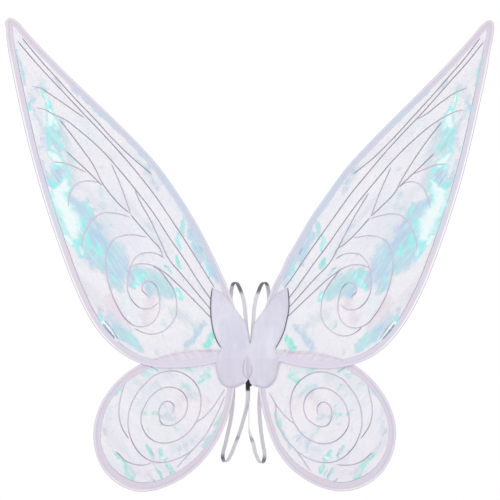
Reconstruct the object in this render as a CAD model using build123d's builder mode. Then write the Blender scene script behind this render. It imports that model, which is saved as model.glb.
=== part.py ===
from build123d import *
import math
import os

# Fairy wings: two wired film wings a side, sewn into a padded fabric centre that
# folds like a butterfly, worn on the back with two elastic arm loops.
#
# Frame, in millimetres: +Z is up, -Y is the outer face that people behind the
# wearer see, +Y is towards the wearer's back, -X is the wearer's left.
# The origin is on the wearer's face of the centre pad, 10 mm below the V notch.

os.makedirs("parts", exist_ok=True)

# ---- driving dimensions -------------------------------------------------------
WIRE_R = 0.9            # frame wire, 1.8 mm steel
FILM_T = 0.2            # iridescent film
SLEEVE_HALF = 1.2       # outside of the film sleeve round the wire, half thickness
SLEEVE_BORE = 1.0       # inside of the sleeve, half thickness
HEM_W = 12.0            # width of the turned and welded hem, from the wire inwards
VEIN_W = 2.0            # raised vein lines
VEIN_T = 0.3

COVER_T = 1.0           # each leaf of the fabric cover
Y_FRONT = -8.6          # outer face of the front cover
Y_UPPER = -6.4          # middle of the upper wing's film and wire
Y_LOWER = -2.8          # middle of the lower wing's film and wire
Y_BACK = -0.6           # wearer's face of the back cover
PLATE_T = 1.2           # stiffener between the two wing layers

HALF_X = 12.0           # each half starts this far from the middle
CENTRE_X = 10.0         # half width of the centre strip
HINGE_X = 11.0          # fold line between them
PAD_TOP = 18.0
PAD_BOTTOM = -54.0
PAD_T = 3.0

STRAP_W = 8.0           # flat elastic
STRAP_T = 1.2
STRAP_X = 4.5           # middle of each sewn end
STRAP_Y = -3.6
STRAP_YAW = 30.0        # how far each loop stands out from straight back
STRAP_GAP = 0.15        # running clearance where a loop leaves the seam

# ---- wire paths, X and Z of the wire's centre -----------------------------------
# Each runs from its first leg in the centre, round the wing, to its second leg.
# The wire is bent by hand, so the left and right wings differ by a few millimetres.
LEFT_UPPER_WIRE = [
    (-25.7, 64.5), (-33.8, 92.4), (-44.2, 119.5), (-56, 146), (-68.4, 172.2), (-81.4, 198.2), (-95.2, 223.8),
    (-109.8, 248.8), (-125.4, 273.3), (-141.6, 297.4), (-158.5, 321), (-176.7, 343.6), (-196.3, 365.1), (-216.5, 385.9),
    (-237.1, 406.4), (-257.9, 426.7), (-278.8, 446.8), (-299.8, 466.8), (-320.7, 487), (-341.4, 507.3), (-361.8, 528),
    (-381.9, 549), (-401.4, 570.5), (-418.7, 589.8), (-425.9, 594.8), (-431.9, 596.5), (-436.6, 594.2), (-437.7, 575),
    (-434.9, 546.1), (-429.7, 517.6), (-424, 489.1), (-418.1, 460.7), (-411.9, 432.3), (-405.5, 404), (-398.8, 375.7),
    (-391.7, 347.6), (-384.2, 319.5), (-376.2, 291.6), (-367.8, 263.9), (-358.9, 236.2), (-349.7, 208.7), (-340.1, 181.3),
    (-330.3, 154), (-319.9, 126.9), (-308.6, 100.1), (-296.2, 73.9), (-281.6, 48.7), (-264.3, 25.5), (-243.8, 5),
    (-220.2, -11.9), (-193.9, -24), (-165.5, -30.1), (-136.5, -31.1), (-107.6, -29.3), (-78.8, -25.6), (-50.8, -17.9),
]
RIGHT_UPPER_WIRE = [
    (25.6, 64.5), (33.2, 92.2), (44.1, 118.6), (57, 142.9), (68.8, 168.3), (83.7, 192.8), (97.8, 217.9),
    (112.9, 242.2), (129.2, 265.8), (145.9, 289.1), (162.6, 312.4), (180.5, 334.8), (199.9, 356), (219.7, 376.7),
    (239.8, 397.2), (260, 417.5), (280.3, 437.7), (300.6, 458), (320.9, 478.3), (340.9, 498.8), (360.7, 519.6),
    (380.1, 540.7), (399.2, 562.2), (417.6, 583.7), (425.8, 590.6), (431.5, 592.6), (436.1, 590.2), (438, 582.9),
    (436.9, 567.5), (431.2, 539.4), (426.7, 511.1), (421.1, 482.9), (414.9, 454.9), (408.7, 426.9), (402.5, 398.9),
    (396, 371), (389.2, 343.1), (381.9, 315.4), (374.1, 287.8), (365.7, 260.4), (356.9, 233.1), (347.7, 205.9),
    (338, 178.9), (328, 152), (317.4, 125.4), (305.7, 99.2), (292.5, 73.7), (277.6, 49.2), (260.7, 26.1),
    (241.1, 5.2), (217.9, -11.6), (191.7, -23.1), (163.9, -29.8), (135.3, -32.1), (106.7, -30.6), (78.4, -25.9),
    (50.8, -18.3),
]
LEFT_LOWER_WIRE = [
    (-72.2, -0.6), (-101.1, -2.5), (-130, -5.9), (-158.4, -11.7), (-185.9, -21.1), (-211.4, -34.9),
    (-234.1, -52.9), (-253.4, -74.6), (-268.3, -99.5), (-277.8, -126.8), (-280.9, -155.6), (-277, -184.3), (-265.8, -211),
    (-247.7, -232.3), (-224.1, -247.3), (-200, -253.7), (-175.1, -252.2), (-147.5, -243.4), (-121.8, -229.9), (-98.8, -212.2),
    (-78.9, -191.1), (-62.2, -167.4), (-48.8, -141.7), (-38.6, -114.5), (-31.6, -86.3), (-27.9, -57.5),
]
RIGHT_LOWER_WIRE = [
    (72.1, -1.1), (101, -3.1), (129.7, -7.2), (157.8, -14.5), (184.3, -26.3), (207.9, -43.1),
    (227.9, -64), (244.2, -88), (256.1, -114.4), (261.9, -142.8), (259.6, -171.6), (250.3, -199), (234.4, -222.6),
    (211.8, -240.5), (185, -251.1), (158.1, -253.1), (129.9, -246.9), (103.7, -234.5), (80.2, -217.5), (60.3, -196.5),
    (45.1, -171.7), (38.1, -155.5), (32.7, -140.5), (27.8, -124.0), (23.5, -108.0), (19.4, -90.0), (16.4, -72.0),
]

# Raised veins on the films, X and Z of each line's middle. They are laid by hand too.
LEFT_UPPER_VEINS = [
    [(-410.3, 561.7), (-379.4, 524.3), (-347, 488.2), (-314.6, 452.2), (-280.8, 417.3), (-248.3, 381.3),
     (-213.5, 347.5), (-176.4, 316.1)],
    [(-418.1, 555.7), (-390.1, 522.7), (-357.4, 486.7), (-331.3, 459.4), (-298.1, 423.9), (-264.5, 388.7),
     (-231.7, 352.8), (-200.3, 315.6), (-170.6, 277.4), (-143.2, 237.2), (-116.5, 196.6), (-90.6, 155.4),
     (-79.3, 137), (-64.1, 112.5)],
    [(-390.9, 474.6), (-374.8, 470.3), (-361, 461.2), (-320.4, 433.3), (-298, 417.5)],
    [(-385.3, 436), (-369.4, 432.8), (-355.4, 424.9), (-340.5, 418.7), (-301.4, 390.4), (-265.4, 358.2),
     (-233.4, 322.2), (-202.8, 284.7), (-173.6, 246.3), (-147.4, 205.6), (-119.9, 165.9), (-93.8, 125.1),
     (-62.1, 79.2)],
    [(-343, 415.3), (-313.2, 376.5), (-284.5, 336.6), (-261.4, 293.9), (-251.7, 280.9), (-225.4, 253.3),
     (-216.6, 246.8)],
    [(-331.4, 358.3), (-296.5, 325.9), (-266.3, 296.2)],
    [(-352.4, 338.7), (-330.4, 335.4), (-304.7, 324.4), (-294.9, 319.2)],
    [(-327.5, 257.5), (-323, 284.9), (-312.4, 298.1), (-296.8, 303.8), (-281.1, 303.4), (-265.3, 297.9)],
    [(-249.3, 334.7), (-230.5, 290.4), (-214.7, 244.8)],
    [(-214.4, 243.2), (-200.4, 226.5), (-175.6, 197.6), (-161.5, 181.3), (-156.5, 165.9)],
    [(-207.4, 289.3), (-201.2, 274.1), (-177.9, 231.2), (-161.9, 196.8), (-145.3, 162.7), (-124.4, 137.7),
     (-93.1, 100.2), (-62, 62.5)],
    [(-303.3, 182.7), (-301.9, 199.1), (-295.6, 215), (-279.8, 238.2), (-264.7, 246.6), (-247.8, 246.8),
     (-226.2, 242.4), (-215.8, 238.9)],
    [(-185.9, 203), (-212.5, 207.2), (-228.6, 205.7), (-244, 199.7), (-253.4, 186.3), (-258.6, 172.1),
     (-259.3, 151.6), (-251.5, 109.7), (-241.5, 84.7), (-220.9, 53), (-207.6, 43.8), (-192.5, 42), (-178.5, 47.2),
     (-168, 58.6), (-162.6, 73.5), (-162.7, 89.5), (-164.7, 105.6), (-173.6, 120.2), (-185.2, 123.8),
     (-194.4, 111.9), (-184.3, 96.6)],
    [(-153.9, 165.3), (-168.1, 173.3), (-184.2, 174.9), (-200, 171.6), (-210.6, 159.8), (-217.2, 145.7),
     (-219.3, 130.5), (-221, 114.4), (-217.3, 99), (-209.1, 85.4), (-197.2, 75.9), (-182.4, 74.3), (-164.2, 85)],
    [(-222, 141), (-209, 152.5), (-192.2, 155.1), (-176.1, 152.6), (-161.7, 145.1), (-124.8, 113.5), (-90.5, 79.1),
     (-62, 49.4)],
    [(-177.3, 153.3), (-163.2, 143.7), (-149.2, 126.5), (-139.9, 113.1), (-134.1, 97.8), (-131.8, 81.8),
     (-133.9, 60.5), (-141.4, 47.5), (-152.6, 36.3), (-167.1, 29.8), (-183, 29.1), (-198.6, 34.1), (-208.2, 39.2)],
]
RIGHT_UPPER_VEINS = [
    [(414.3, 561.5), (384.7, 522.8), (352.7, 486), (324.1, 453.5), (291.2, 417.5), (258.2, 381.6), (223.7, 347.2),
     (185.6, 316.3)],
    [(420.3, 554.4), (389.8, 516.3), (357.2, 479.9), (342.9, 463.6), (310.4, 427.2), (276.6, 392), (243.7, 355.9),
     (212.2, 318.6), (181.3, 280.9), (152.7, 241.3), (124.4, 201.5), (96.4, 161.5), (81.4, 138.7), (62, 111.8)],
    [(390.9, 471.9), (375.1, 466.1), (343.2, 445.2), (313, 422.1), (298.3, 414.6)],
    [(384.9, 432.2), (368.9, 428.8), (354.2, 421.9), (331, 407.9), (293.5, 377), (259, 343), (227.5, 306.1),
     (196.6, 268.3), (167.9, 229.2), (140, 189.1), (110.7, 150), (82.7, 110.4), (62.4, 82.9)],
    [(344.7, 410.2), (314.9, 371.3), (287.5, 330.8), (271.3, 303.6), (263.7, 288.6), (230.4, 252.5), (218.5, 241.3)],
    [(331.7, 353.9), (297.4, 320.9), (266.5, 292.2)],
    [(351.2, 335), (334.8, 333.2), (319.4, 327.4), (294, 316.9)],
    [(325.1, 254.8), (317.5, 279.9), (310.6, 293.7), (296.6, 302.3), (280.1, 301), (266.2, 292.4)],
    [(253.6, 328.6), (234.4, 285.1), (217.6, 240.2)],
    [(216, 238.3), (182.9, 202.1), (170.8, 191.2), (156.8, 180.9), (149.2, 165.8)],
    [(213.2, 282.2), (188.3, 240.6), (165.6, 197.4), (145, 159.4), (112.1, 123.5), (79.9, 87.3), (62, 67.5)],
    [(300.8, 180.4), (299.1, 196.4), (293.7, 212.1), (279.3, 235.9), (269.8, 242.9), (252.7, 245), (236.4, 242.3),
     (215.5, 236.3)],
    [(185.8, 201.6), (212.7, 205.6), (229.4, 203.7), (244.3, 195.8), (252.6, 181.7), (257, 167.3), (257.4, 151.8),
     (252.1, 120.5), (241.3, 90.2), (224.5, 62.8), (210.4, 47), (196.9, 40.6), (181.6, 40.6), (167.7, 48.9),
     (159.7, 63.8), (158.5, 80.4), (160.4, 97), (167, 113.2), (176.8, 121), (188.8, 118), (191.3, 105.3),
     (181.9, 95.2)],
    [(153.6, 163.5), (168, 171.9), (185, 174.3), (196.6, 171.8), (209.1, 160.4), (215.3, 145.4), (217.5, 130.1),
     (217.6, 108.7), (212.4, 93.8), (203.2, 81.3), (191, 73.4), (176.4, 72.9), (162.8, 81.8)],
    [(222.4, 139.7), (213.7, 147.9), (202.4, 152.3), (185.3, 153.1), (169.3, 148.1), (146.6, 133), (110.6, 100.7),
     (70.7, 62.6), (62, 54.1)],
    [(176.1, 151.3), (161.3, 143.1), (153.9, 134), (140.6, 116.1), (132.7, 101.4), (128.2, 79.6), (128, 63.1),
     (133.6, 47.3), (144.6, 35.1), (159, 27.2), (175.2, 25.6), (190.1, 31.7), (202.5, 42.5)],
]
LEFT_LOWER_VEINS = [
    [(-139.8, -113.9), (-137.6, -99), (-150.6, -92.4), (-162.1, -103.4), (-163.8, -119.5), (-157.6, -133.4),
     (-143.5, -136.5), (-129.7, -130), (-118.5, -118.9), (-112.8, -104), (-114, -88.4), (-121.8, -75.7),
     (-135.5, -68.3), (-151.6, -67.3), (-166.2, -73.3), (-181.6, -87.6), (-189.6, -100.9), (-195.5, -115.8),
     (-195.9, -131.9), (-190, -147.3), (-179.4, -159.7), (-164.9, -166.5), (-149.3, -167.4), (-133.9, -163.8),
     (-120.1, -156.1), (-108.1, -145.5), (-92.3, -118.1), (-88.8, -102.8), (-88.6, -87.2), (-91.9, -71.7),
     (-99.8, -58.1), (-111.7, -47.4), (-126, -39.9), (-142.1, -37.9), (-158.2, -40.3), (-172.9, -46.6),
     (-184.7, -56.8), (-204.9, -80.2), (-212.3, -94.3), (-219.3, -120.4), (-219.6, -136.7), (-215, -158),
     (-208.2, -172.7), (-198.5, -185.8), (-185.9, -196.2), (-170.6, -201.9), (-154.6, -202.3), (-129.2, -195.3),
     (-110.5, -185.3), (-98.1, -174.7)],
    [(-225.8, -60.7), (-233.2, -87), (-235.9, -103.2), (-234.9, -125.2), (-229.9, -141.1), (-218.6, -159.9)],
    [(-241.8, -182.7), (-221.9, -200.7), (-206.8, -206.2), (-190.7, -207.1), (-175.1, -202.3)],
    [(-45, -70.7), (-72.4, -109.9), (-83.5, -121.5), (-97, -130.7), (-106.5, -143.7)],
    [(-45.4, -84.1), (-65.9, -128.2), (-85.1, -160.1), (-96, -172), (-132.4, -212.2)],
]
RIGHT_LOWER_VEINS = [
    [(122.6, -116.5), (121.1, -104), (130.5, -93.9), (142.9, -99.7), (147.1, -111.7), (146, -125.4),
     (138.7, -135.4), (123.6, -137.5), (112.9, -132.3), (103.5, -124), (98.1, -112.8), (96.7, -100.2),
     (99.4, -87.8), (106.8, -77.3), (116.9, -70.8), (133.4, -68.5), (148, -73.4), (159.1, -81.9), (168.8, -93.1),
     (174.6, -106.1), (178.3, -120.6), (177.2, -135.6), (170.1, -149.4), (159.4, -160.3), (145.8, -167),
     (130.2, -168.8), (114, -164.8), (99.1, -156.1), (86.9, -143.7), (78.2, -128.4), (74.4, -117.1), (72.2, -99.3),
     (73.5, -87.3), (79, -70.3), (85.5, -60), (99, -48.4), (114.5, -41), (131.1, -39.7), (151.8, -45),
     (165.1, -51.9), (181.3, -69.7), (189.9, -81.8), (198, -100.9), (201.6, -121.8), (201.2, -137.7),
     (195.3, -158.1), (185.3, -176.4), (174.8, -188), (162, -197.1), (147.2, -202.2), (131.3, -202.8),
     (104.9, -195.3), (81.8, -180.6)],
    [(211.8, -63.1), (216.5, -84.1), (219.7, -99.8), (219.1, -121.6), (214.4, -137.4), (205.8, -151.4),
     (199.2, -160.2)],
    [(221.1, -184.1), (201.3, -200.4), (187.2, -206), (166.7, -207.4), (156.2, -206.5)],
    [(34.2, -76.9), (58.4, -113.8), (70.3, -125.5), (81.8, -135.2), (90.2, -148.5)],
    [(39.5, -85.3), (46.3, -100.2), (46.1, -117.1), (49.6, -133.2), (63.3, -157.7), (87.9, -187.3), (109, -218.1)],
]

# The straight ends of the wires, clamped between the covers: X and Z for the left.
UPPER_LEG_IN = [(-22.0, 18.0), (-22.0, 42.0)]
UPPER_LEG_OUT = [(-40.0, -15.5), (-20.0, -15.5)]
LOWER_LEG_IN = [(-20.0, 1.5), (-42.0, 1.5)]
LOWER_LEG_OUT = {-1: [(-27.0, -50.0), (-27.0, -28.0)], 1: [(-15.4, -54.0), (-15.4, -30.0)]}

# The tables below give the left side under -1 and the right side under 1, both as for a
# left-hand part. The right lobe is narrower and hangs a little nearer the middle.
# The films stop a few millimetres inside the covers: the space they leave free.
UPPER_ROOT = {
    -1: [(-61.2, 102.6), (-50.4, 92.7), (-41.4, 83.7), (-34.2, 62.0), (0, 62.0), (0, -90),
         (-52.2, -90), (-54, -27), (-51.3, -10.8), (-45, 1.8), (-51.3, 14.4),
         (-57.6, 30.6), (-62.1, 52.2), (-63.9, 73.8), (-63, 97.2)],
    1: [(-61.2, 102.6), (-50.4, 92.7), (-41.4, 83.7), (-34.2, 62.0), (0, 62.0), (0, -90),
        (-43.5, -90), (-45.6, -27), (-43.8, -10.8), (-39.2, 1.8), (-44.4, 14.4),
        (-52.4, 30.6), (-58.6, 52.2), (-63, 73.8), (-62.6, 97.2)]}
LOWER_ROOT = {
    -1: [(-45.9, 18), (-45, 1.8), (-53.1, -10.8), (-55.8, -27), (-54, -41.4),
         (-49.5, -53.1), (-42.3, -61.2), (-34.2, -63.9), (-18, -62.1), (0, -62.1), (0, 18)],
    1: [(-39.6, 18), (-39.2, 1.8), (-44.4, -10.8), (-46.4, -27), (-45.2, -41.4),
        (-41.2, -52.2), (-35.4, -59.6), (-29, -63.4), (-18, -64), (0, -62.1), (0, 18)]}

# The fabric cover, a tall leaf over a round lobe.
COVER_OUTER = {
    -1: [(-68.4, 112.5), (-70.6, 96.5), (-71.3, 73.8), (-69.7, 51.5), (-65.0, 29.0),
         (-58.5, 12.8), (-51.3, 1.8)],
    1: [(-68.4, 112.5), (-70.2, 96.5), (-70.4, 73.8), (-66.3, 51.5), (-60.0, 29.0),
        (-52.2, 12.8), (-45.4, 1.2)]}
COVER_LOBE = {
    -1: [(-51.3, 1.8), (-59.0, -10.8), (-61.7, -27.0), (-60.1, -43.2), (-55.3, -56.3),
         (-45.7, -65.9), (-36.0, -69.1), (-23.2, -67.2), (-12.0, -61.9)],
    1: [(-45.4, 1.2), (-50.6, -9.0), (-52.6, -24.0), (-51.6, -38.0), (-48.4, -48.6),
        (-42.4, -59.8), (-33.4, -67.2), (-23.0, -69.4), (-12.0, -66.8)]}
ROOT_PLATE = {
    -1: [(-60, 96), (-65, 74), (-64, 52), (-59.5, 32), (-50, 12), (-46.5, 2), (-52, -12), (-56, -28),
         (-54, -44), (-49, -56), (-40, -63), (-30, -63), (-16, -58), (-16, 48), (-30, 70)],
    1: [(-60, 96), (-64, 74), (-60, 52), (-53.5, 32), (-45, 12), (-40, 2), (-44.6, -12), (-46.6, -28),
        (-45.6, -42), (-41, -54), (-34, -62), (-27, -63), (-16, -58), (-16, 48), (-30, 70)]}
COVER_INNER = [(-12.0, 55.0), (-19.2, 65.3), (-26.8, 75.8), (-34.5, 85.4),
               (-48.8, 101.2), (-68.4, 112.5)]
EDGE_W = 2.4            # overlocked edge along the leaf

# Elastic loops, as distance out from the seam and height. Each hangs its own way.
LEFT_LOOP = [(0, 18.15), (0, 34), (3.6, 68), (12.6, 101), (27, 116.5), (41.4, 120.6), (52, 114),
             (55.8, 102.6), (56, 60), (53, 0), (50.4, -68), (55.5, -108), (62, -131), (71.8, -154.5), (82, -177),
             (89.6, -192), (91.4, -202), (85.5, -209), (76.5, -207.6), (63, -196.4), (44.6, -172.7),
             (28, -149.6), (14.5, -126), (5, -106), (1, -90), (0, -72), (0, -54.15)]
RIGHT_LOOP = [(0, 18.15), (0, 34), (3.6, 68), (12.6, 101), (27, 116.5), (41.4, 120.6), (52, 114),
              (55.8, 102.6), (54, 60), (44, 0), (31, -60), (24.6, -100), (26, -122), (29.5, -142), (34.7, -163),
              (39, -176), (43.2, -188), (43.6, -198), (38.6, -205.4), (31.4, -206.6), (23.6, -202.6), (16.8, -195),
              (9.3, -184), (3.8, -171), (0.9, -158), (0, -144), (0, -110), (0, -72), (0, -54.15)]


# ---- curves: every path is a chain of arcs that meet without a corner ------------
def unit(v):
    n = math.hypot(*v)
    return (v[0] / n, v[1] / n)


def tangents(knots, first=None, last=None):
    """Direction at each knot, from the circle through it and its neighbours."""
    out = []
    for i in range(len(knots)):
        a, b, c = knots[max(i - 1, 0)], knots[i], knots[min(i + 1, len(knots) - 1)]
        u, v = (b[0] - a[0], b[1] - a[1]), (c[0] - b[0], c[1] - b[1])
        lu, lv = math.hypot(*u), math.hypot(*v)
        if lu == 0 or lv == 0:
            out.append(unit(v if lu == 0 else u))
        else:
            out.append(unit((u[0] * lv / lu + v[0] * lu / lv, u[1] * lv / lu + v[1] * lu / lv)))
    if first:
        out[0] = unit(first)
    if last:
        out[-1] = unit(last)
    return out


def arc(p, t, q):
    """The arc from p along t to q, as ("A", centre, radius, start, sweep) or a line."""
    dx, dy = q[0] - p[0], q[1] - p[1]
    across = t[0] * dy - t[1] * dx
    d2 = dx * dx + dy * dy
    if abs(across) < 1e-4 * d2 / 40:
        return ("L", p, q)
    r = d2 / (2 * across)
    c = (p[0] - t[1] * r, p[1] + t[0] * r)
    a0 = math.atan2(p[1] - c[1], p[0] - c[0])
    a1 = math.atan2(q[1] - c[1], q[0] - c[0])
    sweep = (a1 - a0) % (2 * math.pi)
    if r < 0:
        sweep -= 2 * math.pi
    return ("A", c, abs(r), a0, sweep)


def biarc(p, t, q, s):
    """Two arcs from p along t to q along s, joined smoothly."""
    v = (q[0] - p[0], q[1] - p[1])
    w = (t[0] + s[0], t[1] + s[1])
    vw, vv = v[0] * w[0] + v[1] * w[1], v[0] ** 2 + v[1] ** 2
    k = 2 * (1 - (t[0] * s[0] + t[1] * s[1]))
    d = vv / (2 * vw) if k < 1e-9 else (-vw + math.sqrt(vw * vw + k * vv)) / k
    m = ((p[0] + q[0] + d * (t[0] - s[0])) / 2, (p[1] + q[1] + d * (t[1] - s[1])) / 2)
    one = arc(p, t, m)
    u = (m[0] - p[0], m[1] - p[1])
    dot = 2 * (u[0] * t[0] + u[1] * t[1]) / (u[0] ** 2 + u[1] ** 2)
    tm = unit((dot * u[0] - t[0], dot * u[1] - t[1]))
    return [one, arc(m, tm, q)]


def chain(knots, first=None, last=None):
    ts = tangents(knots, first, last)
    out = []
    for i in range(len(knots) - 1):
        out += biarc(knots[i], ts[i], knots[i + 1], ts[i + 1])
    return out


def ends(seg):
    if seg[0] == "L":
        return seg[1], seg[2]
    _, c, r, a, s = seg
    return ((c[0] + r * math.cos(a), c[1] + r * math.sin(a)),
            (c[0] + r * math.cos(a + s), c[1] + r * math.sin(a + s)))


def beside(segs, d):
    """The same chain moved d to its left."""
    out = []
    for seg in segs:
        if seg[0] == "L":
            t = unit((seg[2][0] - seg[1][0], seg[2][1] - seg[1][1]))
            n = (-t[1] * d, t[0] * d)
            out.append(("L", (seg[1][0] + n[0], seg[1][1] + n[1]), (seg[2][0] + n[0], seg[2][1] + n[1])))
        else:
            _, c, r, a, s = seg
            out.append(("A", c, r - d if s > 0 else r + d, a, s))
    return out


def draw(segs):
    """Draws a chain inside a BuildLine."""
    at = ends(segs[0])[0]
    for seg in segs:
        p, q = at, ends(seg)[1]
        at = q
        if seg[0] == "L":
            Line(p, q)
        else:
            _, c, r, a, s = seg
            ThreePointArc(p, (c[0] + r * math.cos(a + s / 2), c[1] + r * math.sin(a + s / 2)), q)


def draw_region(segs):
    """Draws a chain and closes it with a straight line."""
    draw(segs)
    Line(ends(segs[-1])[1], ends(segs[0])[0])


def draw_stroke(segs, width):
    """Draws the outline of a strip along a chain."""
    a, b = beside(segs, width / 2), beside(segs, -width / 2)
    draw(a)
    draw(b)
    Line(ends(a[0])[0], ends(b[0])[0])
    Line(ends(a[-1])[1], ends(b[-1])[1])


def handed(points, hand):
    """Left-hand points, mirrored for the right when hand is +1."""
    return [(-hand * x, z) for x, z in points]


def wing_path(leg_in, knots, leg_out, hand):
    a, b = handed(leg_in, hand), handed(leg_out, hand)
    go = (a[1][0] - a[0][0], a[1][1] - a[0][1])
    come = (b[1][0] - b[0][0], b[1][1] - b[0][1])
    middle = chain([a[1]] + knots + [b[0]], go, come)
    return [("L", a[0], a[1])] + middle + [("L", b[0], b[1])]


def facing(y):
    """Sketch plane at depth y: its X is +X, its Y is +Z, and it faces -Y."""
    return Plane.XZ.offset(-y)


# ---- centre: what the two halves and the arm loops are sewn to --------------------
with BuildPart() as center_back_pad:
    with BuildSketch(facing(0)) as pad_outline:
        with Locations((0, (PAD_TOP + PAD_BOTTOM) / 2)):
            RectangleRounded(2 * CENTRE_X, PAD_TOP - PAD_BOTTOM, 2)
    extrude(amount=PAD_T)
center_back_pad.part.label = "center_back_pad"
export_step(center_back_pad.part, "parts/center_back_pad.step")

for side, hand in (("left", -1), ("right", 1)):
    with BuildPart() as strap_anchor:
        with BuildSketch(facing(-PAD_T)):
            with Locations((hand * STRAP_X, (PAD_TOP + PAD_BOTTOM) / 2)):
                Rectangle(STRAP_W, PAD_TOP - PAD_BOTTOM)
        extrude(amount=STRAP_T)
    strap_anchor.part.label = f"{side}_strap_anchor"
    export_step(strap_anchor.part, f"parts/{side}_strap_anchor.step")

Y_TAPE = -PAD_T - STRAP_T
with BuildPart() as spine_tape:
    with BuildSketch(facing(Y_TAPE)):
        with Locations((0, -15)):
            Rectangle(18, 64)
    extrude(amount=0.8)
spine_tape.part.label = "spine_tape"
export_step(spine_tape.part, "parts/spine_tape.step")

with BuildPart() as strap_bar_tacks:
    with BuildSketch(facing(Y_TAPE - 0.8)):
        with Locations(*[(x, z) for x in (-STRAP_X, STRAP_X) for z in (PAD_TOP - 5, -16, -43)]):
            Rectangle(6.5, 2.0)
    extrude(amount=0.4)
strap_bar_tacks.part.label = "strap_bar_tacks"
export_step(strap_bar_tacks.part, "parts/strap_bar_tacks.step")

# The gathered front of the centre: two small horns beside the V notch, pleats below.
Y_GATHER = Y_TAPE - 0.8 - 0.4
with BuildPart() as center_gather:
    with BuildSketch(facing(Y_FRONT + 0.8)):
        with BuildLine():
            Polyline((-CENTRE_X, 51.8), (-6.4, 45.0), (-3.6, 31.5), (-1.6, 18.0), (0.2, 10.5), (2.4, 18.0),
                     (3.9, 31.5), (6.2, 45.0), (CENTRE_X, 51.8), (CENTRE_X, -66.2), (4.8, -63.8), (0.9, -60.4),
                     (-0.9, -56.0), (-2.7, -51.6), (-4.6, -54.0), (-7.4, -58.4), (-CENTRE_X, -61.0), close=True)
        make_face()
    extrude(amount=0.8)
    with BuildSketch(facing(Y_GATHER)):
        with BuildLine():
            Polyline((-CENTRE_X, 17.0), (-1.5, 17.0), (0.2, 10.5), (2.2, 17.0), (CENTRE_X, 17.0),
                     (CENTRE_X, -53.5), (-1.0, -53.5), (-2.7, -51.6), (-5.0, -53.5), (-CENTRE_X, -53.5), close=True)
        make_face()
    extrude(amount=Y_GATHER - (Y_FRONT + 0.8))
    with BuildSketch(facing(Y_FRONT + 0.6)):
        for top, bottom in ((-6.0, -3.2), (-2.4, -1.2), (1.6, 0.6), (5.0, 2.6)):
            with BuildLine():
                Polyline((top - 0.5, -4), (top + 0.5, -4), (bottom + 0.35, -48.5), (bottom - 0.35, -48.5), close=True)
            make_face()
    extrude(amount=2, mode=Mode.SUBTRACT)
center_gather.part.label = "center_gather"
export_step(center_gather.part, "parts/center_gather.step")

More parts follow.
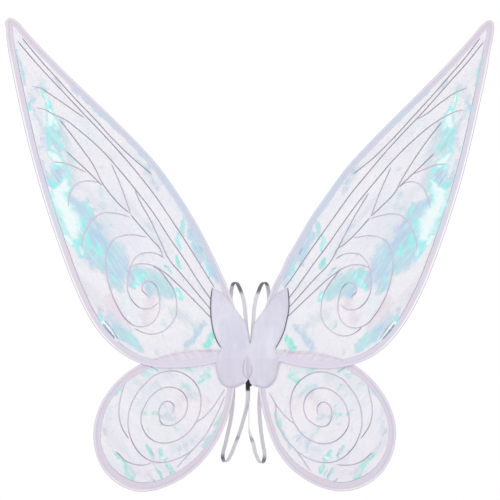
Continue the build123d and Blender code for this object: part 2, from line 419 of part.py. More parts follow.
# ---- the two halves ---------------------------------------------------------------
for side, hand in (("left", -1), ("right", 1)):
    outer, lobe, inner = (handed(p, hand) for p in (COVER_OUTER[hand], COVER_LOBE[hand], COVER_INNER))

    for name, y in (("front_cover", Y_FRONT + COVER_T), ("back_cover", Y_BACK)):
        with BuildPart() as cover:
            with BuildSketch(facing(y)):
                with BuildLine():
                    Spline(outer)
                    Spline(lobe)
                    Line(lobe[-1], inner[0])
                    Spline(inner)
                make_face()
            extrude(amount=COVER_T)
        cover.part.label = f"{side}_{name}"
        export_step(cover.part, f"parts/{side}_{name}.step")

    with BuildPart() as cover_edging:
        with BuildSketch(facing(Y_FRONT)):
            with BuildLine():
                draw_stroke(beside(chain(outer), -hand * EDGE_W / 2), EDGE_W)
            make_face()
        extrude(amount=0.4)
    cover_edging.part.label = f"{side}_cover_edging"
    export_step(cover_edging.part, f"parts/{side}_cover_edging.step")

    # Stiffener between the upper and the lower wing's root, inside the cover.
    with BuildPart() as root_plate:
        with BuildSketch(facing((Y_UPPER + Y_LOWER) / 2 + PLATE_T / 2)) as plate_outline:
            with BuildLine():
                Polyline(*handed(ROOT_PLATE[hand], hand), close=True)
            make_face()
            fillet(plate_outline.vertices(), 2)
        extrude(amount=PLATE_T)
    root_plate.part.label = f"{side}_root_plate"
    export_step(root_plate.part, f"parts/{side}_root_plate.step")

    # Tape wound round each wire leg, filling the layer between plate and cover.
    with BuildPart() as wire_wraps:
        for y, spots in ((Y_UPPER, (((-22.0, 29.0), 7.0, 14.0), ((-30.0, -15.5), 12.0, 7.0))),
                         (Y_LOWER, (((-31.0, 1.5), 12.0, 7.0),
                                   ((-27.0 if hand < 0 else -16.0, -40.0), 7.0, 14.0)))):
            with BuildSketch(facing(y)):
                for (x, z), w, h in spots:
                    with Locations((-hand * x, z)):
                        Rectangle(w, h)
            extrude(amount=SLEEVE_HALF, both=True)
        for y, leg in ((Y_UPPER, UPPER_LEG_IN), (Y_UPPER, UPPER_LEG_OUT), (Y_LOWER, LOWER_LEG_IN),
                       (Y_LOWER, LOWER_LEG_OUT[hand])):
            (x0, z0), (x1, z1) = handed(leg, hand)
            start = Vector(x0, y, z0)
            way = Vector(x1 - x0, 0, z1 - z0)
            with BuildSketch(Plane(origin=start, z_dir=way)):
                Circle(WIRE_R)
            extrude(amount=way.length, mode=Mode.SUBTRACT)
    wire_wraps.part.label = f"{side}_wire_wraps"
    export_step(wire_wraps.part, f"parts/{side}_wire_wraps.step")

    for level, y, knots, leg_in, leg_out, root, veins in (
            ("upper", Y_UPPER, LEFT_UPPER_WIRE if hand < 0 else RIGHT_UPPER_WIRE,
             UPPER_LEG_IN, UPPER_LEG_OUT, UPPER_ROOT[hand], LEFT_UPPER_VEINS if hand < 0 else RIGHT_UPPER_VEINS),
            ("lower", Y_LOWER, LEFT_LOWER_WIRE if hand < 0 else RIGHT_LOWER_WIRE,
             LOWER_LEG_IN, LOWER_LEG_OUT[hand], LOWER_ROOT[hand], LEFT_LOWER_VEINS if hand < 0 else RIGHT_LOWER_VEINS)):
        path = wing_path(leg_in, knots, leg_out, hand)
        inwards = -hand      # the wing lies to the left of a left-hand path

        with BuildPart() as wire:
            with BuildLine(facing(y)) as route:
                draw(path)
            with BuildSketch(Plane(origin=route.wire() @ 0, z_dir=route.wire() % 0)):
                Circle(WIRE_R)
            sweep(path=route.wire())
        wire.part.label = f"{side}_{level}_wire"
        export_step(wire.part, f"parts/{side}_{level}_wire.step")

        # Film: one flat sheet, carried round the wire as a sleeve and turned back as a hem.
        with BuildPart() as film:
            with BuildSketch(facing(y)) as sheet:
                with BuildLine():
                    draw_region(beside(path, inwards * SLEEVE_BORE))
                make_face()
                with BuildLine():
                    Polyline(*handed(root, hand), close=True)
                make_face(mode=Mode.SUBTRACT)
            extrude(amount=FILM_T / 2, both=True)
            with BuildSketch(facing(y)) as hem:
                with BuildLine():
                    draw_region(beside(path, inwards * SLEEVE_BORE))
                make_face()
                offset(amount=-(HEM_W - SLEEVE_BORE), mode=Mode.SUBTRACT)
                with BuildLine():
                    Polyline(*handed(root, hand), close=True)
                make_face(mode=Mode.SUBTRACT)
            extrude(amount=-(FILM_T * 1.5))
            with BuildSketch(facing(y)) as sleeve:
                with BuildLine():
                    draw_region(beside(path, -inwards * SLEEVE_HALF))
                make_face()
                with BuildLine():
                    draw_region(beside(path, inwards * SLEEVE_HALF))
                make_face(mode=Mode.SUBTRACT)
                with BuildLine():
                    Polyline(*handed(root, hand), close=True)
                make_face(mode=Mode.SUBTRACT)
            extrude(amount=SLEEVE_HALF, both=True)
            with BuildSketch(facing(y)) as bore:
                with BuildLine():
                    draw_region(beside(path, -inwards * SLEEVE_BORE))
                make_face()
                with BuildLine():
                    draw_region(beside(path, inwards * SLEEVE_BORE))
                make_face(mode=Mode.SUBTRACT)
            extrude(amount=SLEEVE_BORE, both=True, mode=Mode.SUBTRACT)
        film.part.label = f"{side}_{level}_film"
        export_step(film.part, f"parts/{side}_{level}_film.step")

        with BuildPart() as vein_lines:
            with BuildSketch(facing(y - FILM_T / 2)):
                for line in veins:
                    with BuildLine():
                        draw_stroke(chain(line), VEIN_W)
                    make_face()
            extrude(amount=VEIN_T)
        vein_lines.part.label = f"{side}_{level}_veins"
        export_step(vein_lines.part, f"parts/{side}_{level}_veins.step")

# ---- elastic arm loops --------------------------------------------------------------
for side, hand, loop in (("left", -1, LEFT_LOOP), ("right", 1, RIGHT_LOOP)):
    out = (hand * math.sin(math.radians(STRAP_YAW)), math.cos(math.radians(STRAP_YAW)), 0)
    across = Vector(*out).cross(Vector(0, 0, 1))
    with BuildPart() as strap:
        with BuildSketch(Plane(origin=(hand * STRAP_X, STRAP_Y, 0), x_dir=out, z_dir=across)):
            with BuildLine():
                draw_stroke(chain(loop, (0, 1), (0, 1)), STRAP_T)
            make_face()
        extrude(amount=STRAP_W / 2, both=True)
    strap.part.label = f"{side}_strap"
    export_step(strap.part, f"parts/{side}_strap.step")
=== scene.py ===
import bpy
import math
import numpy as np
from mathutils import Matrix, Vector, geometry


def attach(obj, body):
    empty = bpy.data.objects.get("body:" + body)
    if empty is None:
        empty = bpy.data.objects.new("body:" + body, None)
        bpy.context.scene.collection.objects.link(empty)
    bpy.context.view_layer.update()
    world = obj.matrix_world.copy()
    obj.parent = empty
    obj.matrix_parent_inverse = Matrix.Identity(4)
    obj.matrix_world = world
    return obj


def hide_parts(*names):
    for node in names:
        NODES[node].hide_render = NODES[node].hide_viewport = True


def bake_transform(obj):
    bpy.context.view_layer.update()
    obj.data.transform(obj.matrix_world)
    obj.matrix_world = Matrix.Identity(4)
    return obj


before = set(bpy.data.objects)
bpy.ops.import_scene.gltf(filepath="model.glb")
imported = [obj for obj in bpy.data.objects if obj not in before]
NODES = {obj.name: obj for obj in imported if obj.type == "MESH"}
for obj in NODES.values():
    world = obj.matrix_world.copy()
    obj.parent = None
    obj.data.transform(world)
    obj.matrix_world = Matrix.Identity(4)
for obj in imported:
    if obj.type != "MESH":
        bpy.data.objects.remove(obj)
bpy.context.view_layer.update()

# Lengths in these tables are in millimetres; meshes are made in metres.
Y_FRONT, Y_UPPER, Y_LOWER, Y_BACK = -8.6, -6.4, -2.8, -0.6
FILM_T, HEM_W, VEIN_W, EDGE_W = 0.2, 9.4, 2.0, 2.4
CENTRE_X, HALF_X, PAD_TOP, PAD_BOTTOM = 10.0, 12.0, 18.0, -54.0
STRAP_X, STRAP_Y, STRAP_YAW, STRAP_W, STRAP_T = 4.5, -3.6, 30.0, 8.0, 1.2

# ---- camera, light and floor -----------------------------------------------------
scene = bpy.context.scene
cam_data = bpy.data.cameras.new("camera")
cam_data.lens, cam_data.sensor_width = 140, 36
cam_data.clip_end = 50
camera = bpy.data.objects.new("camera", cam_data)
camera.location, camera.rotation_euler = (0, -3.505, 0.18), (math.radians(90), 0, 0)
scene.collection.objects.link(camera)
scene.camera = camera
scene.view_settings.view_transform = "Standard"
scene.view_settings.look = "None"


def area_light(name, place, aim, size, power):
    data = bpy.data.lights.new(name, "AREA")
    data.shape, data.size, data.energy = "DISK", size, power
    o = bpy.data.objects.new(name, data)
    o.location = place
    o.rotation_euler = (Vector(aim) - Vector(place)).to_track_quat("-Z", "Y").to_euler()
    scene.collection.objects.link(o)


area_light("key", (-1.1, -2.2, 1.7), (0, 0, 0.1), 1.3, 9)
area_light("fill", (1.5, -1.9, 0.5), (0, 0, 0.1), 1.6, 2)
area_light("back", (0.7, 2.2, 1.5), (0, 0, 0.1), 1.6, 7)

world = bpy.data.worlds.new("studio")
scene.world = world
world.use_nodes = True
wn = world.node_tree
wn.nodes.clear()
w_out = wn.nodes.new("ShaderNodeOutputWorld")
w_bg = wn.nodes.new("ShaderNodeBackground")
w_co = wn.nodes.new("ShaderNodeTexCoord")
w_sep = wn.nodes.new("ShaderNodeSeparateXYZ")
w_map = wn.nodes.new("ShaderNodeMapRange")
w_map.inputs[1].default_value, w_map.inputs[2].default_value = -1, 1
w_ramp = wn.nodes.new("ShaderNodeValToRGB")
w_ramp.color_ramp.elements[0].position = 0.0
w_ramp.color_ramp.elements[0].color = (0.50, 0.50, 0.52, 1)
w_ramp.color_ramp.elements[1].position = 1.0
w_ramp.color_ramp.elements[1].color = (0.90, 0.91, 0.94, 1)
for at, v in ((0.34, 0.62), (0.41, 1.0), (0.59, 1.0), (0.66, 0.80)):
    e = w_ramp.color_ramp.elements.new(at)
    e.color = (v, v, v, 1)
wn.links.new(w_co.outputs["Generated"], w_sep.inputs[0])
wn.links.new(w_sep.outputs[2], w_map.inputs[0])
wn.links.new(w_map.outputs[0], w_ramp.inputs[0])
wn.links.new(w_ramp.outputs[0], w_bg.inputs[0])
wn.links.new(w_bg.outputs[0], w_out.inputs[0])

# ---- tables, in millimetres -------------------------------------------------------

LEFT_UPPER_WIRE = [
    (-25.7, 64.5), (-33.8, 92.4), (-44.2, 119.5), (-56, 146), (-68.4, 172.2), (-81.4, 198.2), (-95.2, 223.8),
    (-109.8, 248.8), (-125.4, 273.3), (-141.6, 297.4), (-158.5, 321), (-176.7, 343.6), (-196.3, 365.1), (-216.5, 385.9),
    (-237.1, 406.4), (-257.9, 426.7), (-278.8, 446.8), (-299.8, 466.8), (-320.7, 487), (-341.4, 507.3), (-361.8, 528),
    (-381.9, 549), (-401.4, 570.5), (-418.7, 589.8), (-425.9, 594.8), (-431.9, 596.5), (-436.6, 594.2), (-437.7, 575),
    (-434.9, 546.1), (-429.7, 517.6), (-424, 489.1), (-418.1, 460.7), (-411.9, 432.3), (-405.5, 404), (-398.8, 375.7),
    (-391.7, 347.6), (-384.2, 319.5), (-376.2, 291.6), (-367.8, 263.9), (-358.9, 236.2), (-349.7, 208.7), (-340.1, 181.3),
    (-330.3, 154), (-319.9, 126.9), (-308.6, 100.1), (-296.2, 73.9), (-281.6, 48.7), (-264.3, 25.5), (-243.8, 5),
    (-220.2, -11.9), (-193.9, -24), (-165.5, -30.1), (-136.5, -31.1), (-107.6, -29.3), (-78.8, -25.6), (-50.8, -17.9),
]
RIGHT_UPPER_WIRE = [
    (25.6, 64.5), (33.2, 92.2), (44.1, 118.6), (57, 142.9), (68.8, 168.3), (83.7, 192.8), (97.8, 217.9),
    (112.9, 242.2), (129.2, 265.8), (145.9, 289.1), (162.6, 312.4), (180.5, 334.8), (199.9, 356), (219.7, 376.7),
    (239.8, 397.2), (260, 417.5), (280.3, 437.7), (300.6, 458), (320.9, 478.3), (340.9, 498.8), (360.7, 519.6),
    (380.1, 540.7), (399.2, 562.2), (417.6, 583.7), (425.8, 590.6), (431.5, 592.6), (436.1, 590.2), (438, 582.9),
    (436.9, 567.5), (431.2, 539.4), (426.7, 511.1), (421.1, 482.9), (414.9, 454.9), (408.7, 426.9), (402.5, 398.9),
    (396, 371), (389.2, 343.1), (381.9, 315.4), (374.1, 287.8), (365.7, 260.4), (356.9, 233.1), (347.7, 205.9),
    (338, 178.9), (328, 152), (317.4, 125.4), (305.7, 99.2), (292.5, 73.7), (277.6, 49.2), (260.7, 26.1),
    (241.1, 5.2), (217.9, -11.6), (191.7, -23.1), (163.9, -29.8), (135.3, -32.1), (106.7, -30.6), (78.4, -25.9),
    (50.8, -18.3),
]
LEFT_LOWER_WIRE = [
    (-72.2, -0.6), (-101.1, -2.5), (-130, -5.9), (-158.4, -11.7), (-185.9, -21.1), (-211.4, -34.9),
    (-234.1, -52.9), (-253.4, -74.6), (-268.3, -99.5), (-277.8, -126.8), (-280.9, -155.6), (-277, -184.3), (-265.8, -211),
    (-247.7, -232.3), (-224.1, -247.3), (-200, -253.7), (-175.1, -252.2), (-147.5, -243.4), (-121.8, -229.9), (-98.8, -212.2),
    (-78.9, -191.1), (-62.2, -167.4), (-48.8, -141.7), (-38.6, -114.5), (-31.6, -86.3), (-27.9, -57.5),
]
RIGHT_LOWER_WIRE = [
    (72.1, -1.1), (101, -3.1), (129.7, -7.2), (157.8, -14.5), (184.3, -26.3), (207.9, -43.1),
    (227.9, -64), (244.2, -88), (256.1, -114.4), (261.9, -142.8), (259.6, -171.6), (250.3, -199), (234.4, -222.6),
    (211.8, -240.5), (185, -251.1), (158.1, -253.1), (129.9, -246.9), (103.7, -234.5), (80.2, -217.5), (60.3, -196.5),
    (45.1, -171.7), (38.1, -155.5), (32.7, -140.5), (27.8, -124.0), (23.5, -108.0), (19.4, -90.0), (16.4, -72.0),
]

# Raised veins on the films, X and Z of each line's middle. They are listed one by one too.
LEFT_UPPER_VEINS = [
    [(-410.3, 561.7), (-379.4, 524.3), (-347, 488.2), (-314.6, 452.2), (-280.8, 417.3), (-248.3, 381.3),
     (-213.5, 347.5), (-176.4, 316.1)],
    [(-418.1, 555.7), (-390.1, 522.7), (-357.4, 486.7), (-331.3, 459.4), (-298.1, 423.9), (-264.5, 388.7),
     (-231.7, 352.8), (-200.3, 315.6), (-170.6, 277.4), (-143.2, 237.2), (-116.5, 196.6), (-90.6, 155.4),
     (-79.3, 137), (-64.1, 112.5)],
    [(-390.9, 474.6), (-374.8, 470.3), (-361, 461.2), (-320.4, 433.3), (-298, 417.5)],
    [(-385.3, 436), (-369.4, 432.8), (-355.4, 424.9), (-340.5, 418.7), (-301.4, 390.4), (-265.4, 358.2),
     (-233.4, 322.2), (-202.8, 284.7), (-173.6, 246.3), (-147.4, 205.6), (-119.9, 165.9), (-93.8, 125.1),
     (-62.1, 79.2)],
    [(-343, 415.3), (-313.2, 376.5), (-284.5, 336.6), (-261.4, 293.9), (-251.7, 280.9), (-225.4, 253.3),
     (-216.6, 246.8)],
    [(-331.4, 358.3), (-296.5, 325.9), (-266.3, 296.2)],
    [(-352.4, 338.7), (-330.4, 335.4), (-304.7, 324.4), (-294.9, 319.2)],
    [(-327.5, 257.5), (-323, 284.9), (-312.4, 298.1), (-296.8, 303.8), (-281.1, 303.4), (-265.3, 297.9)],
    [(-249.3, 334.7), (-230.5, 290.4), (-214.7, 244.8)],
    [(-214.4, 243.2), (-200.4, 226.5), (-175.6, 197.6), (-161.5, 181.3), (-156.5, 165.9)],
    [(-207.4, 289.3), (-201.2, 274.1), (-177.9, 231.2), (-161.9, 196.8), (-145.3, 162.7), (-124.4, 137.7),
     (-93.1, 100.2), (-62, 62.5)],
    [(-303.3, 182.7), (-301.9, 199.1), (-295.6, 215), (-279.8, 238.2), (-264.7, 246.6), (-247.8, 246.8),
     (-226.2, 242.4), (-215.8, 238.9)],
    [(-185.9, 203), (-212.5, 207.2), (-228.6, 205.7), (-244, 199.7), (-253.4, 186.3), (-258.6, 172.1),
     (-259.3, 151.6), (-251.5, 109.7), (-241.5, 84.7), (-220.9, 53), (-207.6, 43.8), (-192.5, 42), (-178.5, 47.2),
     (-168, 58.6), (-162.6, 73.5), (-162.7, 89.5), (-164.7, 105.6), (-173.6, 120.2), (-185.2, 123.8),
     (-194.4, 111.9), (-184.3, 96.6)],
    [(-153.9, 165.3), (-168.1, 173.3), (-184.2, 174.9), (-200, 171.6), (-210.6, 159.8), (-217.2, 145.7),
     (-219.3, 130.5), (-221, 114.4), (-217.3, 99), (-209.1, 85.4), (-197.2, 75.9), (-182.4, 74.3), (-164.2, 85)],
    [(-222, 141), (-209, 152.5), (-192.2, 155.1), (-176.1, 152.6), (-161.7, 145.1), (-124.8, 113.5), (-90.5, 79.1),
     (-62, 49.4)],
    [(-177.3, 153.3), (-163.2, 143.7), (-149.2, 126.5), (-139.9, 113.1), (-134.1, 97.8), (-131.8, 81.8),
     (-133.9, 60.5), (-141.4, 47.5), (-152.6, 36.3), (-167.1, 29.8), (-183, 29.1), (-198.6, 34.1), (-208.2, 39.2)],
]
RIGHT_UPPER_VEINS = [
    [(414.3, 561.5), (384.7, 522.8), (352.7, 486), (324.1, 453.5), (291.2, 417.5), (258.2, 381.6), (223.7, 347.2),
     (185.6, 316.3)],
    [(420.3, 554.4), (389.8, 516.3), (357.2, 479.9), (342.9, 463.6), (310.4, 427.2), (276.6, 392), (243.7, 355.9),
     (212.2, 318.6), (181.3, 280.9), (152.7, 241.3), (124.4, 201.5), (96.4, 161.5), (81.4, 138.7), (62, 111.8)],
    [(390.9, 471.9), (375.1, 466.1), (343.2, 445.2), (313, 422.1), (298.3, 414.6)],
    [(384.9, 432.2), (368.9, 428.8), (354.2, 421.9), (331, 407.9), (293.5, 377), (259, 343), (227.5, 306.1),
     (196.6, 268.3), (167.9, 229.2), (140, 189.1), (110.7, 150), (82.7, 110.4), (62.4, 82.9)],
    [(344.7, 410.2), (314.9, 371.3), (287.5, 330.8), (271.3, 303.6), (263.7, 288.6), (230.4, 252.5), (218.5, 241.3)],
    [(331.7, 353.9), (297.4, 320.9), (266.5, 292.2)],
    [(351.2, 335), (334.8, 333.2), (319.4, 327.4), (294, 316.9)],
    [(325.1, 254.8), (317.5, 279.9), (310.6, 293.7), (296.6, 302.3), (280.1, 301), (266.2, 292.4)],
    [(253.6, 328.6), (234.4, 285.1), (217.6, 240.2)],
    [(216, 238.3), (182.9, 202.1), (170.8, 191.2), (156.8, 180.9), (149.2, 165.8)],
    [(213.2, 282.2), (188.3, 240.6), (165.6, 197.4), (145, 159.4), (112.1, 123.5), (79.9, 87.3), (62, 67.5)],
    [(300.8, 180.4), (299.1, 196.4), (293.7, 212.1), (279.3, 235.9), (269.8, 242.9), (252.7, 245), (236.4, 242.3),
     (215.5, 236.3)],
    [(185.8, 201.6), (212.7, 205.6), (229.4, 203.7), (244.3, 195.8), (252.6, 181.7), (257, 167.3), (257.4, 151.8),
     (252.1, 120.5), (241.3, 90.2), (224.5, 62.8), (210.4, 47), (196.9, 40.6), (181.6, 40.6), (167.7, 48.9),
     (159.7, 63.8), (158.5, 80.4), (160.4, 97), (167, 113.2), (176.8, 121), (188.8, 118), (191.3, 105.3),
     (181.9, 95.2)],
    [(153.6, 163.5), (168, 171.9), (185, 174.3), (196.6, 171.8), (209.1, 160.4), (215.3, 145.4), (217.5, 130.1),
     (217.6, 108.7), (212.4, 93.8), (203.2, 81.3), (191, 73.4), (176.4, 72.9), (162.8, 81.8)],
    [(222.4, 139.7), (213.7, 147.9), (202.4, 152.3), (185.3, 153.1), (169.3, 148.1), (146.6, 133), (110.6, 100.7),
     (70.7, 62.6), (62, 54.1)],
    [(176.1, 151.3), (161.3, 143.1), (153.9, 134), (140.6, 116.1), (132.7, 101.4), (128.2, 79.6), (128, 63.1),
     (133.6, 47.3), (144.6, 35.1), (159, 27.2), (175.2, 25.6), (190.1, 31.7), (202.5, 42.5)],
]
LEFT_LOWER_VEINS = [
    [(-139.8, -113.9), (-137.6, -99), (-150.6, -92.4), (-162.1, -103.4), (-163.8, -119.5), (-157.6, -133.4),
     (-143.5, -136.5), (-129.7, -130), (-118.5, -118.9), (-112.8, -104), (-114, -88.4), (-121.8, -75.7),
     (-135.5, -68.3), (-151.6, -67.3), (-166.2, -73.3), (-181.6, -87.6), (-189.6, -100.9), (-195.5, -115.8),
     (-195.9, -131.9), (-190, -147.3), (-179.4, -159.7), (-164.9, -166.5), (-149.3, -167.4), (-133.9, -163.8),
     (-120.1, -156.1), (-108.1, -145.5), (-92.3, -118.1), (-88.8, -102.8), (-88.6, -87.2), (-91.9, -71.7),
     (-99.8, -58.1), (-111.7, -47.4), (-126, -39.9), (-142.1, -37.9), (-158.2, -40.3), (-172.9, -46.6),
     (-184.7, -56.8), (-204.9, -80.2), (-212.3, -94.3), (-219.3, -120.4), (-219.6, -136.7), (-215, -158),
     (-208.2, -172.7), (-198.5, -185.8), (-185.9, -196.2), (-170.6, -201.9), (-154.6, -202.3), (-129.2, -195.3),
     (-110.5, -185.3), (-98.1, -174.7)],
    [(-225.8, -60.7), (-233.2, -87), (-235.9, -103.2), (-234.9, -125.2), (-229.9, -141.1), (-218.6, -159.9)],
    [(-241.8, -182.7), (-221.9, -200.7), (-206.8, -206.2), (-190.7, -207.1), (-175.1, -202.3)],
    [(-45, -70.7), (-72.4, -109.9), (-83.5, -121.5), (-97, -130.7), (-106.5, -143.7)],
    [(-45.4, -84.1), (-65.9, -128.2), (-85.1, -160.1), (-96, -172), (-132.4, -212.2)],
]
RIGHT_LOWER_VEINS = [
    [(122.6, -116.5), (121.1, -104), (130.5, -93.9), (142.9, -99.7), (147.1, -111.7), (146, -125.4),
     (138.7, -135.4), (123.6, -137.5), (112.9, -132.3), (103.5, -124), (98.1, -112.8), (96.7, -100.2),
     (99.4, -87.8), (106.8, -77.3), (116.9, -70.8), (133.4, -68.5), (148, -73.4), (159.1, -81.9), (168.8, -93.1),
     (174.6, -106.1), (178.3, -120.6), (177.2, -135.6), (170.1, -149.4), (159.4, -160.3), (145.8, -167),
     (130.2, -168.8), (114, -164.8), (99.1, -156.1), (86.9, -143.7), (78.2, -128.4), (74.4, -117.1), (72.2, -99.3),
     (73.5, -87.3), (79, -70.3), (85.5, -60), (99, -48.4), (114.5, -41), (131.1, -39.7), (151.8, -45),
     (165.1, -51.9), (181.3, -69.7), (189.9, -81.8), (198, -100.9), (201.6, -121.8), (201.2, -137.7),
     (195.3, -158.1), (185.3, -176.4), (174.8, -188), (162, -197.1), (147.2, -202.2), (131.3, -202.8),
     (104.9, -195.3), (81.8, -180.6)],
    [(211.8, -63.1), (216.5, -84.1), (219.7, -99.8), (219.1, -121.6), (214.4, -137.4), (205.8, -151.4),
     (199.2, -160.2)],
    [(221.1, -184.1), (201.3, -200.4), (187.2, -206), (166.7, -207.4), (156.2, -206.5)],
    [(34.2, -76.9), (58.4, -113.8), (70.3, -125.5), (81.8, -135.2), (90.2, -148.5)],
    [(39.5, -85.3), (46.3, -100.2), (46.1, -117.1), (49.6, -133.2), (63.3, -157.7), (87.9, -187.3), (109, -218.1)],
]

# The straight ends of the wires, clamped between the covers: X and Z for the left.
UPPER_LEG_IN = [(-22.0, 18.0), (-22.0, 42.0)]
UPPER_LEG_OUT = [(-40.0, -15.5), (-20.0, -15.5)]
LOWER_LEG_IN = [(-20.0, 1.5), (-42.0, 1.5)]
LOWER_LEG_OUT = {-1: [(-27.0, -50.0), (-27.0, -28.0)], 1: [(-15.4, -54.0), (-15.4, -30.0)]}

# The tables below give the left side under -1 and the right side under 1, both as for a
# left-hand part. The right lobe is narrower and hangs a little nearer the middle.
# The films stop a few millimetres inside the covers: the space they leave free.
UPPER_ROOT = {
    -1: [(-61.2, 102.6), (-50.4, 92.7), (-41.4, 83.7), (-34.2, 62.0), (0, 62.0), (0, -90),
         (-52.2, -90), (-54, -27), (-51.3, -10.8), (-45, 1.8), (-51.3, 14.4),
         (-57.6, 30.6), (-62.1, 52.2), (-63.9, 73.8), (-63, 97.2)],
    1: [(-61.2, 102.6), (-50.4, 92.7), (-41.4, 83.7), (-34.2, 62.0), (0, 62.0), (0, -90),
        (-43.5, -90), (-45.6, -27), (-43.8, -10.8), (-39.2, 1.8), (-44.4, 14.4),
        (-52.4, 30.6), (-58.6, 52.2), (-63, 73.8), (-62.6, 97.2)]}
LOWER_ROOT = {
    -1: [(-45.9, 18), (-45, 1.8), (-53.1, -10.8), (-55.8, -27), (-54, -41.4),
         (-49.5, -53.1), (-42.3, -61.2), (-34.2, -63.9), (-18, -62.1), (0, -62.1), (0, 18)],
    1: [(-39.6, 18), (-39.2, 1.8), (-44.4, -10.8), (-46.4, -27), (-45.2, -41.4),
        (-41.2, -52.2), (-35.4, -59.6), (-29, -63.4), (-18, -64), (0, -62.1), (0, 18)]}

# The fabric cover, a tall leaf over a round lobe.
COVER_OUTER = {
    -1: [(-68.4, 112.5), (-70.6, 96.5), (-71.3, 73.8), (-69.7, 51.5), (-65.0, 29.0),
         (-58.5, 12.8), (-51.3, 1.8)],
    1: [(-68.4, 112.5), (-70.2, 96.5), (-70.4, 73.8), (-66.3, 51.5), (-60.0, 29.0),
        (-52.2, 12.8), (-45.4, 1.2)]}
COVER_LOBE = {
    -1: [(-51.3, 1.8), (-59.0, -10.8), (-61.7, -27.0), (-60.1, -43.2), (-55.3, -56.3),
         (-45.7, -65.9), (-36.0, -69.1), (-23.2, -67.2), (-12.0, -61.9)],
    1: [(-45.4, 1.2), (-50.6, -9.0), (-52.6, -24.0), (-51.6, -38.0), (-48.4, -48.6),
        (-42.4, -59.8), (-33.4, -67.2), (-23.0, -69.4), (-12.0, -66.8)]}
ROOT_PLATE = {
    -1: [(-60, 96), (-65, 74), (-64, 52), (-59.5, 32), (-50, 12), (-46.5, 2), (-52, -12), (-56, -28),
         (-54, -44), (-49, -56), (-40, -63), (-30, -63), (-16, -58), (-16, 48), (-30, 70)],
    1: [(-60, 96), (-64, 74), (-60, 52), (-53.5, 32), (-45, 12), (-40, 2), (-44.6, -12), (-46.6, -28),
        (-45.6, -42), (-41, -54), (-34, -62), (-27, -63), (-16, -58), (-16, 48), (-30, 70)]}
COVER_INNER = [(-12.0, 55.0), (-19.2, 65.3), (-26.8, 75.8), (-34.5, 85.4),
               (-48.8, 101.2), (-68.4, 112.5)]
EDGE_W = 2.4            # overlocked edge along the leaf

# Elastic loops as they hang, as distance out from the seam and height.
LEFT_LOOP = [(0, 18.15), (0.8, 26), (3.2, 36), (6.2, 52), (7.9, 66), (10.2, 77), (14.4, 90), (19.8, 99.5),
             (26, 107.5), (31.8, 114.4), (38, 119.2), (45, 121.3), (52, 118.5), (57, 112), (60, 102),
             (60.5, 60), (57, 0), (51.4, -68), (55.5, -108), (62, -131), (71.8, -154.5), (82, -177),
             (89.6, -192), (91.4, -202), (85.5, -209), (76.5, -207.6), (63, -196.4), (44.6, -172.7),
             (28, -149.6), (14.5, -126), (5, -106), (1, -90), (0, -72), (0, -54.15)]
RIGHT_LOOP = [(0, 18.15), (0.5, 28), (2.2, 42), (3.8, 58), (5.6, 72), (9.6, 85), (15, 96), (21.6, 105),
              (28.2, 113), (35.4, 119), (43.6, 121.3), (51, 118.5), (56, 112), (59, 102),
              (58, 60), (46, 0), (31, -60), (24.6, -100), (26, -122), (29.5, -142), (34.7, -163), (39, -176),
              (43.2, -188), (43.6, -198), (38.6, -205.4), (31.4, -206.6), (23.6, -202.6), (16.8, -195), (9.3, -184),
              (3.8, -171), (0.9, -158), (0, -144), (0, -110), (0, -72), (0, -54.15)]
